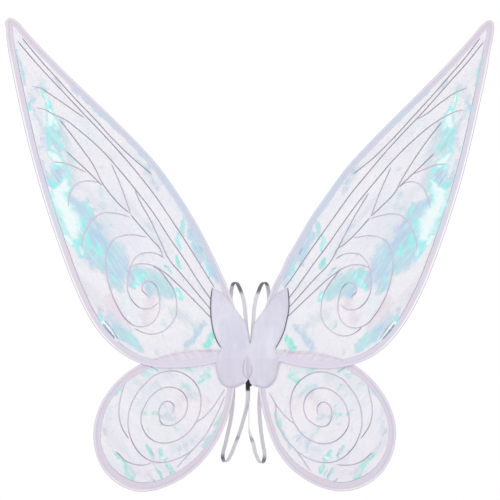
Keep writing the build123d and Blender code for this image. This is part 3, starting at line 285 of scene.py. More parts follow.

# Painted glints and reflections of the crinkled foil on the left films, among softer pink, grey and
# lavender patches: kind, strength, and points of (x, z, half width) in millimetres.
UPPER_GLINTS = [
    ('k', 0.8, [(-66.6, -7.9, 10.1), (-79.2, -10.8, 11.9), (-104.4, -14.8, 14.4), (-133.2, -18.7, 13.3), (-158.4, -21.6, 10.1), (-176.4, -25.2, 5.4)]),
    ('r', 0.75, [(-50.4, -0.7, 1.1), (-68.4, -0.4, 1.4), (-100.8, -2.5, 1.4), (-129.6, -5.8, 1.3), (-156.6, -12.2, 1.1), (-180, -20.7, 0.9)]),
    ('c', 1, [(-372.2, 471.6, 2.2), (-370.8, 460.8, 4), (-365.4, 446.4, 4.7), (-360.9, 432, 6.5), (-358.2, 417.6, 9.7), (-355.5, 403.2, 12.6), (-355.5, 394.2, 11.5)]),
    ('w', 1, [(-369.9, 461.7, 1.6), (-363.6, 442.8, 1.6)]),
    ('w', 1, [(-360, 430.2, 3.6), (-358.2, 417.6, 5.8), (-360.9, 406.8, 4)]),
    ('w', 0.9, [(-351, 410.4, 3.2), (-346.5, 399.6, 3.2)]),
    ('t', 1, [(-352.8, 392.4, 9.9), (-349.2, 378, 11.7), (-342, 363.6, 7.2)]),
    ('c', 0.9, [(-363.6, 388.8, 2.9), (-361.8, 376.2, 3.2), (-361.8, 365.4, 3.2)]),
    ('c', 0.9, [(-352.8, 388.8, 2.9), (-345.6, 376.2, 3.2), (-338.4, 365.4, 3.2), (-334.8, 358.2, 1.8)]),
    ('c', 1, [(-361.8, 360, 4.7), (-352.8, 349.2, 9), (-342, 338.4, 8.6), (-334.8, 333, 4.7), (-351, 329.4, 7.9)]),
    ('w', 1, [(-362.7, 357.3, 3.2), (-352.8, 346.5, 6.1), (-342, 338.4, 5.4)]),
    ('w', 0.7, [(-354.6, 331.2, 2.9), (-351, 325.8, 2.7)]),
    ('c', 0.9, [(-333, 331.2, 3.2), (-329.4, 318.6, 4.3), (-326.7, 304.2, 4.3)]),
    ('l', 1, [(-343.8, 320.4, 8.1), (-342.9, 309.6, 8.1), (-341.1, 300.6, 5.4)]),
    ('t', 0.9, [(-354.6, 324, 4), (-355.5, 313.2, 4.3), (-349.2, 300.6, 3.6)]),
    ('c', 1, [(-364.5, 309.6, 2.2), (-358.2, 300.6, 4.3), (-352.8, 293.4, 5.4)]),
    ('c', 1, [(-331.2, 306, 7.6), (-331.2, 291.6, 10.8), (-342, 279, 17.1), (-338.4, 262.8, 16.2), (-331.2, 246.6, 17.1), (-324, 230.4, 18.9), (-316.8, 214.2, 17.1), (-313.2, 198, 12.6), (-306, 180, 8.1), (-301.5, 168.3, 3.6)]),
    ('w', 1, [(-330.3, 306, 4.3), (-333.9, 291.6, 7.9), (-349.2, 284.4, 6.5), (-343.8, 273.6, 11.2), (-338.4, 261, 11.5), (-329.4, 248.4, 13), (-322.2, 234, 14.4), (-318.6, 219.6, 12.6), (-314.1, 205.2, 7.9)]),
    ('w', 0.9, [(-331.2, 205.2, 2.9), (-322.2, 192.6, 3.6)]),
    ('w', 0.9, [(-305.1, 185.4, 2.2), (-302.4, 174.6, 2.9)]),
    ('w', 0.8, [(-291.6, 203.4, 2.7), (-290.7, 192.6, 3.2)]),
    ('b', 0.9, [(-320.4, 273.6, 6.3), (-311.4, 262.8, 9.9), (-300.6, 252, 10.8), (-295.2, 237.6, 8.1)]),
    ('t', 0.8, [(-295.2, 264.6, 5.4), (-289.8, 252, 7.2), (-287.1, 241.2, 5.4)]),
    ('c', 0.75, [(-295.2, 261, 2.9), (-288.9, 250.2, 3.6), (-287.1, 243, 2.9)]),
    ('c', 0.8, [(-300.6, 235.8, 4), (-297, 226.8, 6.1), (-302.4, 217.8, 4.7)]),
    ('b', 1, [(-284.4, 230.4, 10.8), (-280.8, 208.8, 19.8), (-275.4, 187.2, 25.2), (-277.2, 169.2, 21.6)]),
    ('t', 0.9, [(-295.2, 205.2, 9), (-288, 183.6, 10.8), (-273.6, 165.6, 14.4), (-264.6, 147.6, 9)]),
    ('c', 0.85, [(-293.4, 210.6, 4), (-290.7, 198, 5.4), (-289.8, 185.4, 4.3)]),
    ('c', 0.95, [(-274.5, 186.3, 4.7), (-270.4, 178.2, 6.5), (-275.4, 172.8, 4.3)]),
    ('b', 1, [(-252, 187.2, 9), (-248.4, 169.2, 14.4), (-243, 151.2, 18), (-239.4, 131.4, 16.2)]),
    ('t', 0.8, [(-235.8, 183.6, 10.8), (-237.6, 165.6, 9), (-257.4, 158.4, 9)]),
    ('b', 0.7, [(-230.4, 162, 12.6), (-225, 144, 9)]),
    ('c', 0.8, [(-246.6, 133.2, 4.7), (-243.9, 127.8, 3.6)]),
    ('t', 0.6, [(-252, 129.6, 8.1), (-239.4, 118.8, 10.8), (-232.2, 108, 7.2)]),
    ('l', 0.8, [(-214.2, 140.4, 5.8), (-213.3, 126, 7.2), (-210.6, 115.2, 4.5)]),
    ('t', 1, [(-203.4, 144, 9), (-190.8, 135, 15.3), (-172.8, 126, 18), (-156.6, 113.4, 15.3), (-144, 100.8, 9)]),
    ('c', 0.6, [(-207.9, 141.3, 3.2), (-203.4, 136.8, 2.9)]),
    ('w', 1.1, [(-207, 116.6, 1.6), (-202.5, 123.3, 3.4), (-197.1, 129.6, 4.1), (-191.2, 136.4, 2)]),
    ('c', 0.9, [(-208.8, 113.4, 2.9), (-201.6, 123.3, 6.1), (-190.8, 136.8, 4)]),
    ('b', 0.9, [(-185.4, 113.4, 5.4), (-180, 104.4, 7.2), (-181.8, 95.4, 5.4)]),
    ('b', 0.35, [(-156.6, 91.8, 4.5), (-155.7, 79.2, 6.3)]),
    ('c', 0.95, [(-132.3, 106.2, 4.7), (-128.5, 99.4, 5.4), (-124.2, 91.8, 3.6)]),
    ('w', 0.8, [(-130.3, 102.6, 2), (-127.8, 97.2, 2.2)]),
    ('b', 0.6, [(-273.6, 75.6, 5.4), (-268.2, 61.2, 7.2)]),
    ('c', 1, [(-267.3, 57.6, 3.6), (-265, 49.7, 4)]),
    ('w', 1.1, [(-266.4, 50.4, 2), (-262.8, 47.7, 1.8)]),
    ('w', 0.9, [(-262.8, 51.3, 1.4), (-251.1, 36.9, 2), (-239.4, 19.8, 1.6)]),
    ('w', 1.1, [(-243, 26.1, 2), (-238.3, 18, 2.5)]),
    ('d', 0.9, [(-260.6, 52.6, 0.9), (-249.3, 38.5, 1.3), (-237.6, 20.7, 0.9)]),
    ('d', 0.9, [(-263.5, 46.8, 0.9), (-253.8, 33.3, 1.3), (-243.7, 22.3, 0.9)]),
    ('t', 0.9, [(-252, 68.4, 4.7), (-243, 55.8, 6.5), (-232.2, 39.6, 7.9), (-219.6, 25.2, 9)]),
    ('b', 0.7, [(-255.6, 57.6, 5.4), (-241.2, 39.6, 7.2), (-228.6, 23.4, 7.2)]),
    ('c', 0.85, [(-217.8, 28.8, 4.7), (-209.7, 18.9, 6.8), (-203.4, 9, 6.1)]),
    ('t', 0.8, [(-225, 28.8, 7.2), (-208.8, 14.4, 10.8), (-198, 3.6, 7.2)]),
    ('b', 0.8, [(-81.9, 46.8, 4), (-97.2, 27, 5.4), (-114.3, 7.2, 6.1)]),
    ('m', 1, [(-65.7, 27.9, 4.3), (-70.2, 18, 7.9), (-75.6, 8.1, 7.2)]),
    ('w', 0.35, [(-67.5, 16.2, 2.9), (-65.7, 10.8, 2.2)]),
    ('t', 0.5, [(-156.6, 54, 5.4), (-151.2, 43.2, 5.4)]),
    ('b', 0.55, [(-320.4, 471.6, 3.6), (-288, 442.8, 4.7), (-252, 412.2, 5.4), (-219.6, 381.6, 5.4), (-190.8, 352.8, 6.5), (-162, 320.4, 7.2), (-136.8, 284.4, 9), (-111.6, 241.2, 10.8), (-91.8, 201.6, 10.8), (-75.6, 162, 9), (-61.2, 133.2, 5.4)]),
    ('t', 0.55, [(-277.2, 432, 2.9), (-262.8, 419.4, 3.6), (-248.4, 406.8, 2.9)]),
    ('t', 0.6, [(-352.8, 489.6, 2.9), (-345.6, 480.6, 3.2), (-338.4, 471.6, 2.2)]),
    ('c', 0.75, [(-128.7, 210.6, 2.5), (-131.4, 198, 4.7), (-126, 183.6, 3.2)]),
    ('t', 1, [(-118.8, 234, 2.5), (-121.5, 219.6, 4.3), (-120.6, 205.2, 2.9)]),
    ('c', 0.6, [(-119.9, 230.4, 1.6), (-121.3, 216, 2.3)]),
    ('m', 0.9, [(-132.3, 167.4, 2.9), (-128.7, 158.4, 4.7), (-125.1, 149.4, 3.2)]),
    ('m', 0.8, [(-153, 151.2, 2.2), (-146.7, 145.8, 2.9), (-141.3, 137.7, 1.8)]),
    ('d', 0.5, [(-154.8, 152.1, 1.1), (-147.6, 149.4, 1.3)]),
    ('b', 0.8, [(-108, 212.4, 5.4), (-99, 190.8, 9), (-91.8, 169.2, 7.2)]),
    ('t', 0.7, [(-111.6, 216, 1.8), (-109.8, 201.6, 2.9)]),
    ('t', 0.8, [(-97.2, 190.8, 2.2), (-101.5, 181.8, 2.5)]),
    ('d', 0.5, [(-90.9, 187.2, 0.9), (-86.4, 178.2, 1.1)]),
    ('t', 0.8, [(-88.2, 172.8, 2.5), (-90, 158.4, 3.2)]),
    ('c', 0.8, [(-78.1, 158.4, 1.8), (-76.3, 144, 3.1), (-74.5, 129.6, 2.7)]),
    ('w', 0.8, [(-76.3, 142.2, 1.3), (-75.2, 131.4, 1.8)]),
    ('b', 0.8, [(-70.2, 158.4, 3.6), (-66.6, 140.4, 6.1), (-59.4, 122.4, 5.4)]),
    ('t', 0.45, [(-207, 345.6, 3.6), (-196.2, 336.6, 4.7), (-183.6, 327.6, 3.6)]),
    ('t', 0.4, [(-270, 331.2, 4.3), (-262.8, 327.6, 2.9)]),
    ('t', 0.5, [(-252, 349.2, 2.2), (-249.3, 343.8, 2.2)]),
    ('b', 0.5, [(-187.2, 324, 7.2), (-172.8, 306, 10.8), (-165.6, 288, 7.2)]),
    ('t', 0.8, [(-421.2, 540, 1.8), (-414, 518.4, 2.5), (-408.6, 496.8, 3.2), (-406.8, 478.8, 2.9)]),
    ('c', 0.6, [(-412.2, 507.6, 1.4), (-407.5, 489.6, 2)]),
    ('t', 0.8, [(-396, 442.8, 2.9), (-390.6, 450.9, 3.2), (-386.1, 451.8, 2.2)]),
    ('c', 0.9, [(-397.8, 441, 2.2), (-397.4, 432.9, 3.1)]),
    ('b', 0.4, [(-399.6, 457.2, 7.2), (-385.2, 428.4, 9), (-374.4, 396, 9), (-370.8, 360, 7.2)]),
    ('t', 0.5, [(-380.7, 369, 2.2), (-378.4, 361.8, 2.5)]),
    ('b', 0.6, [(-374.4, 342, 2.9), (-367.2, 320.4, 4.3), (-361.8, 298.8, 4.3)]),
    ('g', 0.6, [(-342, 417.6, 5.4), (-331.2, 374.4, 9), (-322.2, 331.2, 10.8), (-316.8, 295.2, 9)]),
    ('g', 0.5, [(-387, 464.4, 10.8), (-374.4, 478.8, 10.8)]),
    ('g', 0.5, [(-270, 288, 7.2), (-262.8, 259.2, 9), (-277.2, 255.6, 5.4)]),
    ('g', 0.4, [(-180, 225, 14.4), (-151.2, 180, 12.6)]),
    ('g', 0.5, [(-133.2, 68.4, 12.6), (-97.2, 43.2, 10.8)]),
    ('p', 0.8, [(-252, 90, 10.8), (-237.6, 61.2, 12.6), (-219.6, 43.2, 7.2)]),
    ('p', 0.6, [(-189, 57.6, 14.4), (-176.4, 90, 9)]),
    ('p', 0.3, [(-147.6, -3.6, 18), (-97.2, -10.8, 14.4)]),
    ('p', 0.5, [(-306, 108, 14.4), (-288, 82.8, 10.8)]),
]
LOWER_GLINTS = [
    ('m', 0.9, [(-183.6, -32.4, 2.5), (-174.6, -35.1, 4), (-165.6, -37.8, 2.5)]),
    ('w', 0.8, [(-180, -33.5, 1.4), (-169.2, -36.7, 1.8)]),
    ('d', 0.8, [(-178.2, -31, 0.9), (-166.5, -36.4, 1.1)]),
    ('m', 0.6, [(-196.2, -43.2, 4.7), (-187.2, -44.6, 6.1), (-178.2, -43.2, 4.3)]),
    ('m', 0.4, [(-217.8, -59.4, 3.6), (-205.2, -57.6, 4)]),
    ('m', 0.65, [(-243, -81, 3.6), (-237.6, -74.7, 5), (-230.4, -68.4, 2.9)]),
    ('m', 0.4, [(-122.4, -34.2, 4.3), (-104.4, -38.7, 5.8), (-84.6, -38.7, 5.8), (-70.2, -34.2, 3.2)]),
    ('m', 0.9, [(-93.6, -56.7, 3.2), (-84.6, -50.4, 6.1), (-75.6, -46.1, 6.1)]),
    ('w', 0.5, [(-90, -53.1, 1.8), (-79.2, -46.8, 1.8)]),
    ('m', 0.45, [(-122.4, -63.9, 3.6), (-111.6, -66.6, 4.7), (-102.6, -75.6, 4.3), (-95.4, -86.4, 3.6)]),
    ('m', 0.9, [(-193.5, -113.4, 2.5), (-188.1, -115.2, 3.6)]),
    ('m', 1, [(-173.7, -114.5, 2.9), (-167.8, -114.8, 3.2)]),
    ('w', 0.6, [(-171.7, -114.8, 1.6), (-168.5, -114.8, 1.4)]),
    ('d', 0.5, [(-198, -105.8, 0.9), (-192.6, -110.9, 1.1)]),
    ('g', 0.8, [(-158.4, -118.8, 4.7), (-144, -120.6, 6.1), (-135, -122.4, 4.3)]),
    ('m', 0.55, [(-135.9, -138.6, 3.6), (-130.5, -146.7, 4)]),
    ('g', 0.6, [(-124.2, -151.2, 2.9), (-117, -171, 2.9), (-113.4, -185.4, 2.2)]),
    ('m', 0.75, [(-186.3, -171, 2.9), (-180.9, -181.8, 4.7), (-175.3, -194.4, 3.2)]),
    ('d', 0.5, [(-179.3, -175.5, 0.9), (-173.5, -190.8, 1.1)]),
    ('m', 1, [(-160.2, -180, 3.2), (-159.3, -190.8, 5.4), (-150.3, -197.1, 4.3)]),
    ('w', 1, [(-158.4, -194.4, 3.1), (-152.3, -193.7, 2.2)]),
    ('m', 1, [(-150.1, -207, 2.9), (-144, -213.5, 5), (-142.6, -221.4, 3.2)]),
    ('w', 0.5, [(-146.9, -209.9, 2.2), (-144, -216, 1.4)]),
    ('m', 0.85, [(-168.5, -214.2, 2.2), (-162.7, -223.2, 2.9), (-157.7, -232.9, 2.2)]),
    ('d', 0.5, [(-164.9, -215.6, 0.7), (-157.3, -229.7, 0.9)]),
    ('m', 0.7, [(-177.5, -231.5, 1.8), (-171.7, -237.6, 2.2)]),
    ('d', 0.6, [(-176.8, -229.7, 0.7), (-170.6, -236.9, 0.9)]),
    ('m', 1, [(-242.3, -186.1, 1.8), (-235.8, -194.4, 2.9), (-226.8, -205.2, 4), (-218.9, -216, 6.5), (-213.5, -227.9, 6.8), (-210.6, -235.8, 4.3)]),
    ('w', 0.6, [(-235.1, -196.9, 1.3), (-228.6, -205.9, 1.4)]),
    ('w', 0.5, [(-219.6, -214.2, 2.2), (-214.2, -225, 2.2)]),
    ('m', 0.7, [(-51.1, -112.7, 2.9), (-55.1, -124.2, 4.7), (-61.2, -135.7, 5)]),
    ('t', 0.7, [(-63.7, -144, 4), (-72.7, -158.4, 5), (-82.1, -173.5, 4.7)]),
    ('m', 0.4, [(-117, -209.9, 2.9), (-108, -204.5, 2.9)]),
    ('g', 0.5, [(-264.6, -144, 2.2), (-255.6, -165.6, 3.6), (-244.8, -183.6, 2.9)]),
    ('g', 0.5, [(-120.6, -64.8, 10.8), (-104.4, -82.8, 9)]),
    ('g', 0.4, [(-144, -39.6, 18), (-180, -68.4, 9)]),
    ('b', 0.4, [(-255.6, -108, 9), (-257.4, -144, 9)]),
    ('b', 0.4, [(-133.2, -183.6, 10.8), (-97.2, -154.8, 9)]),
    ('p', 0.5, [(-126, -90, 12.6), (-140.4, -111.6, 10.8)]),
    ('p', 0.5, [(-90, -86.4, 9), (-75.6, -93.6, 7.2)]),
    ('p', 0.5, [(-216, -216, 9), (-180, -223.2, 9)]),
]


# ---- curves ---------------------------------------------------------------------
def unit(v):
    n = math.hypot(*v)
    return (v[0] / n, v[1] / n)


def tangents(knots, first=None, last=None):
    """Direction at each knot, from the circle through it and its neighbours."""
    out = []
    for i in range(len(knots)):
        a, b, c = knots[max(i - 1, 0)], knots[i], knots[min(i + 1, len(knots) - 1)]
        u, v = (b[0] - a[0], b[1] - a[1]), (c[0] - b[0], c[1] - b[1])
        lu, lv = math.hypot(*u), math.hypot(*v)
        if lu == 0 or lv == 0:
            out.append(unit(v if lu == 0 else u))
        else:
            out.append(unit((u[0] * lv / lu + v[0] * lu / lv, u[1] * lv / lu + v[1] * lu / lv)))
    if first:
        out[0] = unit(first)
    if last:
        out[-1] = unit(last)
    return out


def arc(p, t, q):
    """The arc from p along t to q, as ("A", centre, radius, start, sweep) or a line."""
    dx, dy = q[0] - p[0], q[1] - p[1]
    across = t[0] * dy - t[1] * dx
    d2 = dx * dx + dy * dy
    if abs(across) < 1e-4 * d2 / 40:
        return ("L", p, q)
    r = d2 / (2 * across)
    c = (p[0] - t[1] * r, p[1] + t[0] * r)
    a0 = math.atan2(p[1] - c[1], p[0] - c[0])
    a1 = math.atan2(q[1] - c[1], q[0] - c[0])
    sweep = (a1 - a0) % (2 * math.pi)
    if r < 0:
        sweep -= 2 * math.pi
    return ("A", c, abs(r), a0, sweep)


def biarc(p, t, q, s):
    """Two arcs from p along t to q along s, joined smoothly."""
    v = (q[0] - p[0], q[1] - p[1])
    w = (t[0] + s[0], t[1] + s[1])
    vw, vv = v[0] * w[0] + v[1] * w[1], v[0] ** 2 + v[1] ** 2
    k = 2 * (1 - (t[0] * s[0] + t[1] * s[1]))
    d = vv / (2 * vw) if k < 1e-9 else (-vw + math.sqrt(vw * vw + k * vv)) / k
    m = ((p[0] + q[0] + d * (t[0] - s[0])) / 2, (p[1] + q[1] + d * (t[1] - s[1])) / 2)
    one = arc(p, t, m)
    u = (m[0] - p[0], m[1] - p[1])
    dot = 2 * (u[0] * t[0] + u[1] * t[1]) / (u[0] ** 2 + u[1] ** 2)
    tm = unit((dot * u[0] - t[0], dot * u[1] - t[1]))
    return [one, arc(m, tm, q)]


def chain(knots, first=None, last=None):
    ts = tangents(knots, first, last)
    out = []
    for i in range(len(knots) - 1):
        out += biarc(knots[i], ts[i], knots[i + 1], ts[i + 1])
    return out


def ends(seg):
    if seg[0] == "L":
        return seg[1], seg[2]
    _, c, r, a, s = seg
    return ((c[0] + r * math.cos(a), c[1] + r * math.sin(a)),
            (c[0] + r * math.cos(a + s), c[1] + r * math.sin(a + s)))


def beside(segs, d):
    """The same chain moved d to its left."""
    out = []
    for seg in segs:
        if seg[0] == "L":
            t = unit((seg[2][0] - seg[1][0], seg[2][1] - seg[1][1]))
            n = (-t[1] * d, t[0] * d)
            out.append(("L", (seg[1][0] + n[0], seg[1][1] + n[1]), (seg[2][0] + n[0], seg[2][1] + n[1])))
        else:
            _, c, r, a, s = seg
            out.append(("A", c, r - d if s > 0 else r + d, a, s))
    return out


def handed(points, hand):
    """Left-hand points, mirrored for the right when hand is +1."""
    return [(-hand * x, z) for x, z in points]


def wing_path(leg_in, knots, leg_out, hand):
    a, b = handed(leg_in, hand), handed(leg_out, hand)
    go = (a[1][0] - a[0][0], a[1][1] - a[0][1])
    come = (b[1][0] - b[0][0], b[1][1] - b[0][1])
    middle = chain([a[1]] + knots + [b[0]], go, come)
    return [("L", a[0], a[1])] + middle + [("L", b[0], b[1])]


# ---- numbers ----------------------------------------------------------------------
def lin(r, g, b):
    """A linear colour from 0 to 255 display values."""
    out = []
    for c in (r, g, b):
        c /= 255.0
        out.append(c / 12.92 if c <= 0.04045 else ((c + 0.055) / 1.055) ** 2.4)
    return tuple(out)


def value_noise(x, z, scale, seed):
    x, z = np.asarray(x, float) / scale, np.asarray(z, float) / scale
    i, j = np.floor(x).astype(np.int64), np.floor(z).astype(np.int64)
    fx, fz = x - i, z - j
    fx, fz = fx * fx * (3 - 2 * fx), fz * fz * (3 - 2 * fz)

    def corner(a, b):
        n = (a * 374761393 + b * 668265263 + seed * 144269504) & 0xFFFFFFFF
        n = ((n ^ (n >> 13)) * 1274126177) & 0xFFFFFFFF
        n = n ^ (n >> 16)
        return n / 4294967295.0

    low = corner(i, j) * (1 - fx) + corner(i + 1, j) * fx
    high = corner(i, j + 1) * (1 - fx) + corner(i + 1, j + 1) * fx
    return low * (1 - fz) + high * fz


def smooth(t):
    t = np.clip(t, 0, 1)
    return t * t * (3 - 2 * t)


def sampled(segs, step):
    """Points and directions along a chain, about step apart."""
    pts, ways = [], []
    for k, seg in enumerate(segs):
        p, q = ends(seg)
        if seg[0] == "L":
            length = math.dist(p, q)
            n = max(1, round(length / step))
            t = unit((q[0] - p[0], q[1] - p[1]))
            for i in range(n + (k == len(segs) - 1)):
                pts.append((p[0] + (q[0] - p[0]) * i / n, p[1] + (q[1] - p[1]) * i / n))
                ways.append(t)
        else:
            _, c, r, a, s = seg
            n = max(1, round(abs(s) * r / step))
            for i in range(n + (k == len(segs) - 1)):
                b = a + s * i / n
                pts.append((c[0] + r * math.cos(b), c[1] + r * math.sin(b)))
                ways.append((-math.sin(b) * np.sign(s), math.cos(b) * np.sign(s)))
    return np.array(pts, float), np.array(ways, float)


def respaced(pts, step, closed=False):
    """A polyline divided evenly."""
    pts = np.asarray(pts, float)
    if closed:
        pts = np.vstack([pts, pts[:1]])
    run = np.concatenate([[0], np.cumsum(np.linalg.norm(np.diff(pts, axis=0), axis=1))])
    n = max(2, int(round(run[-1] / step)))
    at = np.linspace(0, run[-1], n + 1)
    out = np.stack([np.interp(at, run, pts[:, k]) for k in range(pts.shape[1])], 1)
    return out[:-1] if closed else out


def rounded(knots, step, first=None, last=None):
    return sampled(chain(knots, first, last), step)


def inside(points, polygon):
    """Which points lie inside a closed polygon."""
    points, polygon = np.asarray(points, float), np.asarray(polygon, float)
    out = np.zeros(len(points), bool)
    a, b = polygon, np.roll(polygon, -1, axis=0)
    for (x0, z0), (x1, z1) in zip(a, b):
        if z0 == z1:
            continue
        hit = (z0 > points[:, 1]) != (z1 > points[:, 1])
        out ^= hit & (points[:, 0] < (x1 - x0) * (points[:, 1] - z0) / (z1 - z0) + x0)
    return out


def far(points, line, closed=False):
    """How far each point is from a polyline."""
    points, line = np.asarray(points, float), np.asarray(line, float)
    if closed:
        line = np.vstack([line, line[:1]])
    best = np.full(len(points), 1e18)
    for p, q in zip(line[:-1], line[1:]):
        d = q - p
        t = np.clip(((points - p) @ d) / max(d @ d, 1e-12), 0, 1)
        off = points - p - t[:, None] * d
        best = np.minimum(best, (off * off).sum(1))
    return np.sqrt(best)


def hexgrid(polygon, step):
    lo, hi = np.min(polygon, 0), np.max(polygon, 0)
    xs = np.arange(lo[0], hi[0] + step, step)
    zs = np.arange(lo[1], hi[1] + step, step * 0.866)
    x, z = np.meshgrid(xs, zs)
    x = x + (np.arange(len(zs)) % 2)[:, None] * step / 2
    return np.stack([x.ravel(), z.ravel()], 1)


def triangulated(loops, points, keep):
    """Triangles over points, with the loops as edges, where keep says so."""
    all_points, edges = [], []
    for loop in loops:
        at = len(all_points)
        all_points += [tuple(p) for p in loop]
        edges += [(at + i, at + (i + 1) % len(loop)) for i in range(len(loop))]
    all_points += [tuple(p) for p in points]
    found = geometry.delaunay_2d_cdt([Vector((float(a), float(b))) for a, b in all_points], edges, [], 0, 1e-4)
    verts = np.array([(v.x, v.y) for v in found[0]], float)
    tris = np.array([f for f in found[2] if len(f) == 3], int)
    tris = tris[keep(verts[tris].mean(1))]
    a, b, c = verts[tris[:, 0]], verts[tris[:, 1]], verts[tris[:, 2]]
    turn = (b[:, 0] - a[:, 0]) * (c[:, 1] - a[:, 1]) - (b[:, 1] - a[:, 1]) * (c[:, 0] - a[:, 0])
    tris = tris[np.abs(turn) > 1e-5]
    turn = turn[np.abs(turn) > 1e-5]
    tris[turn < 0] = tris[turn < 0][:, ::-1]
    used, back = np.unique(tris, return_inverse=True)
    return verts[used], back.reshape(-1, 3), float(np.abs(turn).sum() / 2) / 1e6


# ---- making meshes ------------------------------------------------------------------
def piece(name, verts, faces, material, data=None, sharp=None):
    """A closed mesh from millimetres, facing outwards."""
    verts = np.asarray(verts, float) / 1000.0
    me = bpy.data.meshes.new(name)
    me.from_pydata(verts.tolist(), [], [tuple(int(i) for i in f) for f in faces])
    me.validate()
    me.update()
    vol = 0.0
    me.calc_loop_triangles()
    tri = np.zeros(len(me.loop_triangles) * 3, np.int32)
    me.loop_triangles.foreach_get("vertices", tri)
    tri = tri.reshape(-1, 3)
    a, b, c = verts[tri[:, 0]], verts[tri[:, 1]], verts[tri[:, 2]]
    vol = float((a * np.cross(b, c)).sum())
    if vol < 0:
        me.flip_normals()
    for key, values in (data or {}).items():
        values = np.asarray(values, np.float32)
        kind = {1: "FLOAT", 3: "FLOAT_VECTOR", 4: "FLOAT_COLOR"}[1 if values.ndim == 1 else values.shape[1]]
        layer = me.attributes.new(key, kind, "POINT")
        layer.data.foreach_set({"FLOAT": "value", "FLOAT_VECTOR": "vector", "FLOAT_COLOR": "color"}[kind], values.ravel())
    me.shade_smooth()
    if sharp:
        me.set_sharp_from_angle(angle=math.radians(sharp))
    me.materials.append(material)
    o = bpy.data.objects.new(name, me)
    scene.collection.objects.link(o)
    return o


def shell(name, flat, tris, front, back, material, data=None, sharp=None):
    """A closed shell over flat (x, z) points between two depths, front facing -Y."""
    n = len(flat)
    front, back = np.broadcast_to(front, n), np.broadcast_to(back, n)
    verts = np.vstack([np.stack([flat[:, 0], front, flat[:, 1]], 1), np.stack([flat[:, 0], back, flat[:, 1]], 1)])
    e = np.concatenate([tris[:, [0, 1]], tris[:, [1, 2]], tris[:, [2, 0]]])
    key = e[:, 0].astype(np.int64) * n + e[:, 1]
    rim = e[~np.isin(key, e[:, 1].astype(np.int64) * n + e[:, 0])]
    faces = [tuple(t) for t in tris] + [tuple(t[::-1] + n) for t in tris]
    faces += [(b, a, a + n, b + n) for a, b in rim]
    data = {k: np.concatenate([v, v]) for k, v in (data or {}).items()}
    data["inner"] = np.concatenate([np.zeros(n), np.ones(n)])
    return piece(name, verts, faces, material, data, sharp)


def swept(name, centre, across, up, profiles, material, data=None, sharp=None):
    """Rings of (across, up) offsets round each centre, joined and capped."""
    centre, across, up, profiles = (np.asarray(v, float) for v in (centre, across, up, profiles))
    n, k = profiles.shape[:2]
    rings = centre[:, None] + across[:, None] * profiles[..., :1] + up[:, None] * profiles[..., 1:]
    verts = rings.reshape(-1, 3)
    i, j = np.meshgrid(np.arange(n - 1), np.arange(k), indexing="ij")
    a, b = i * k + j, i * k + (j + 1) % k
    faces = list(np.stack([a, b, b + k, a + k], -1).reshape(-1, 4))
    faces += [list(range(k))[::-1], [(n - 1) * k + q for q in range(k)]]
    return piece(name, verts, faces, material, data, sharp)


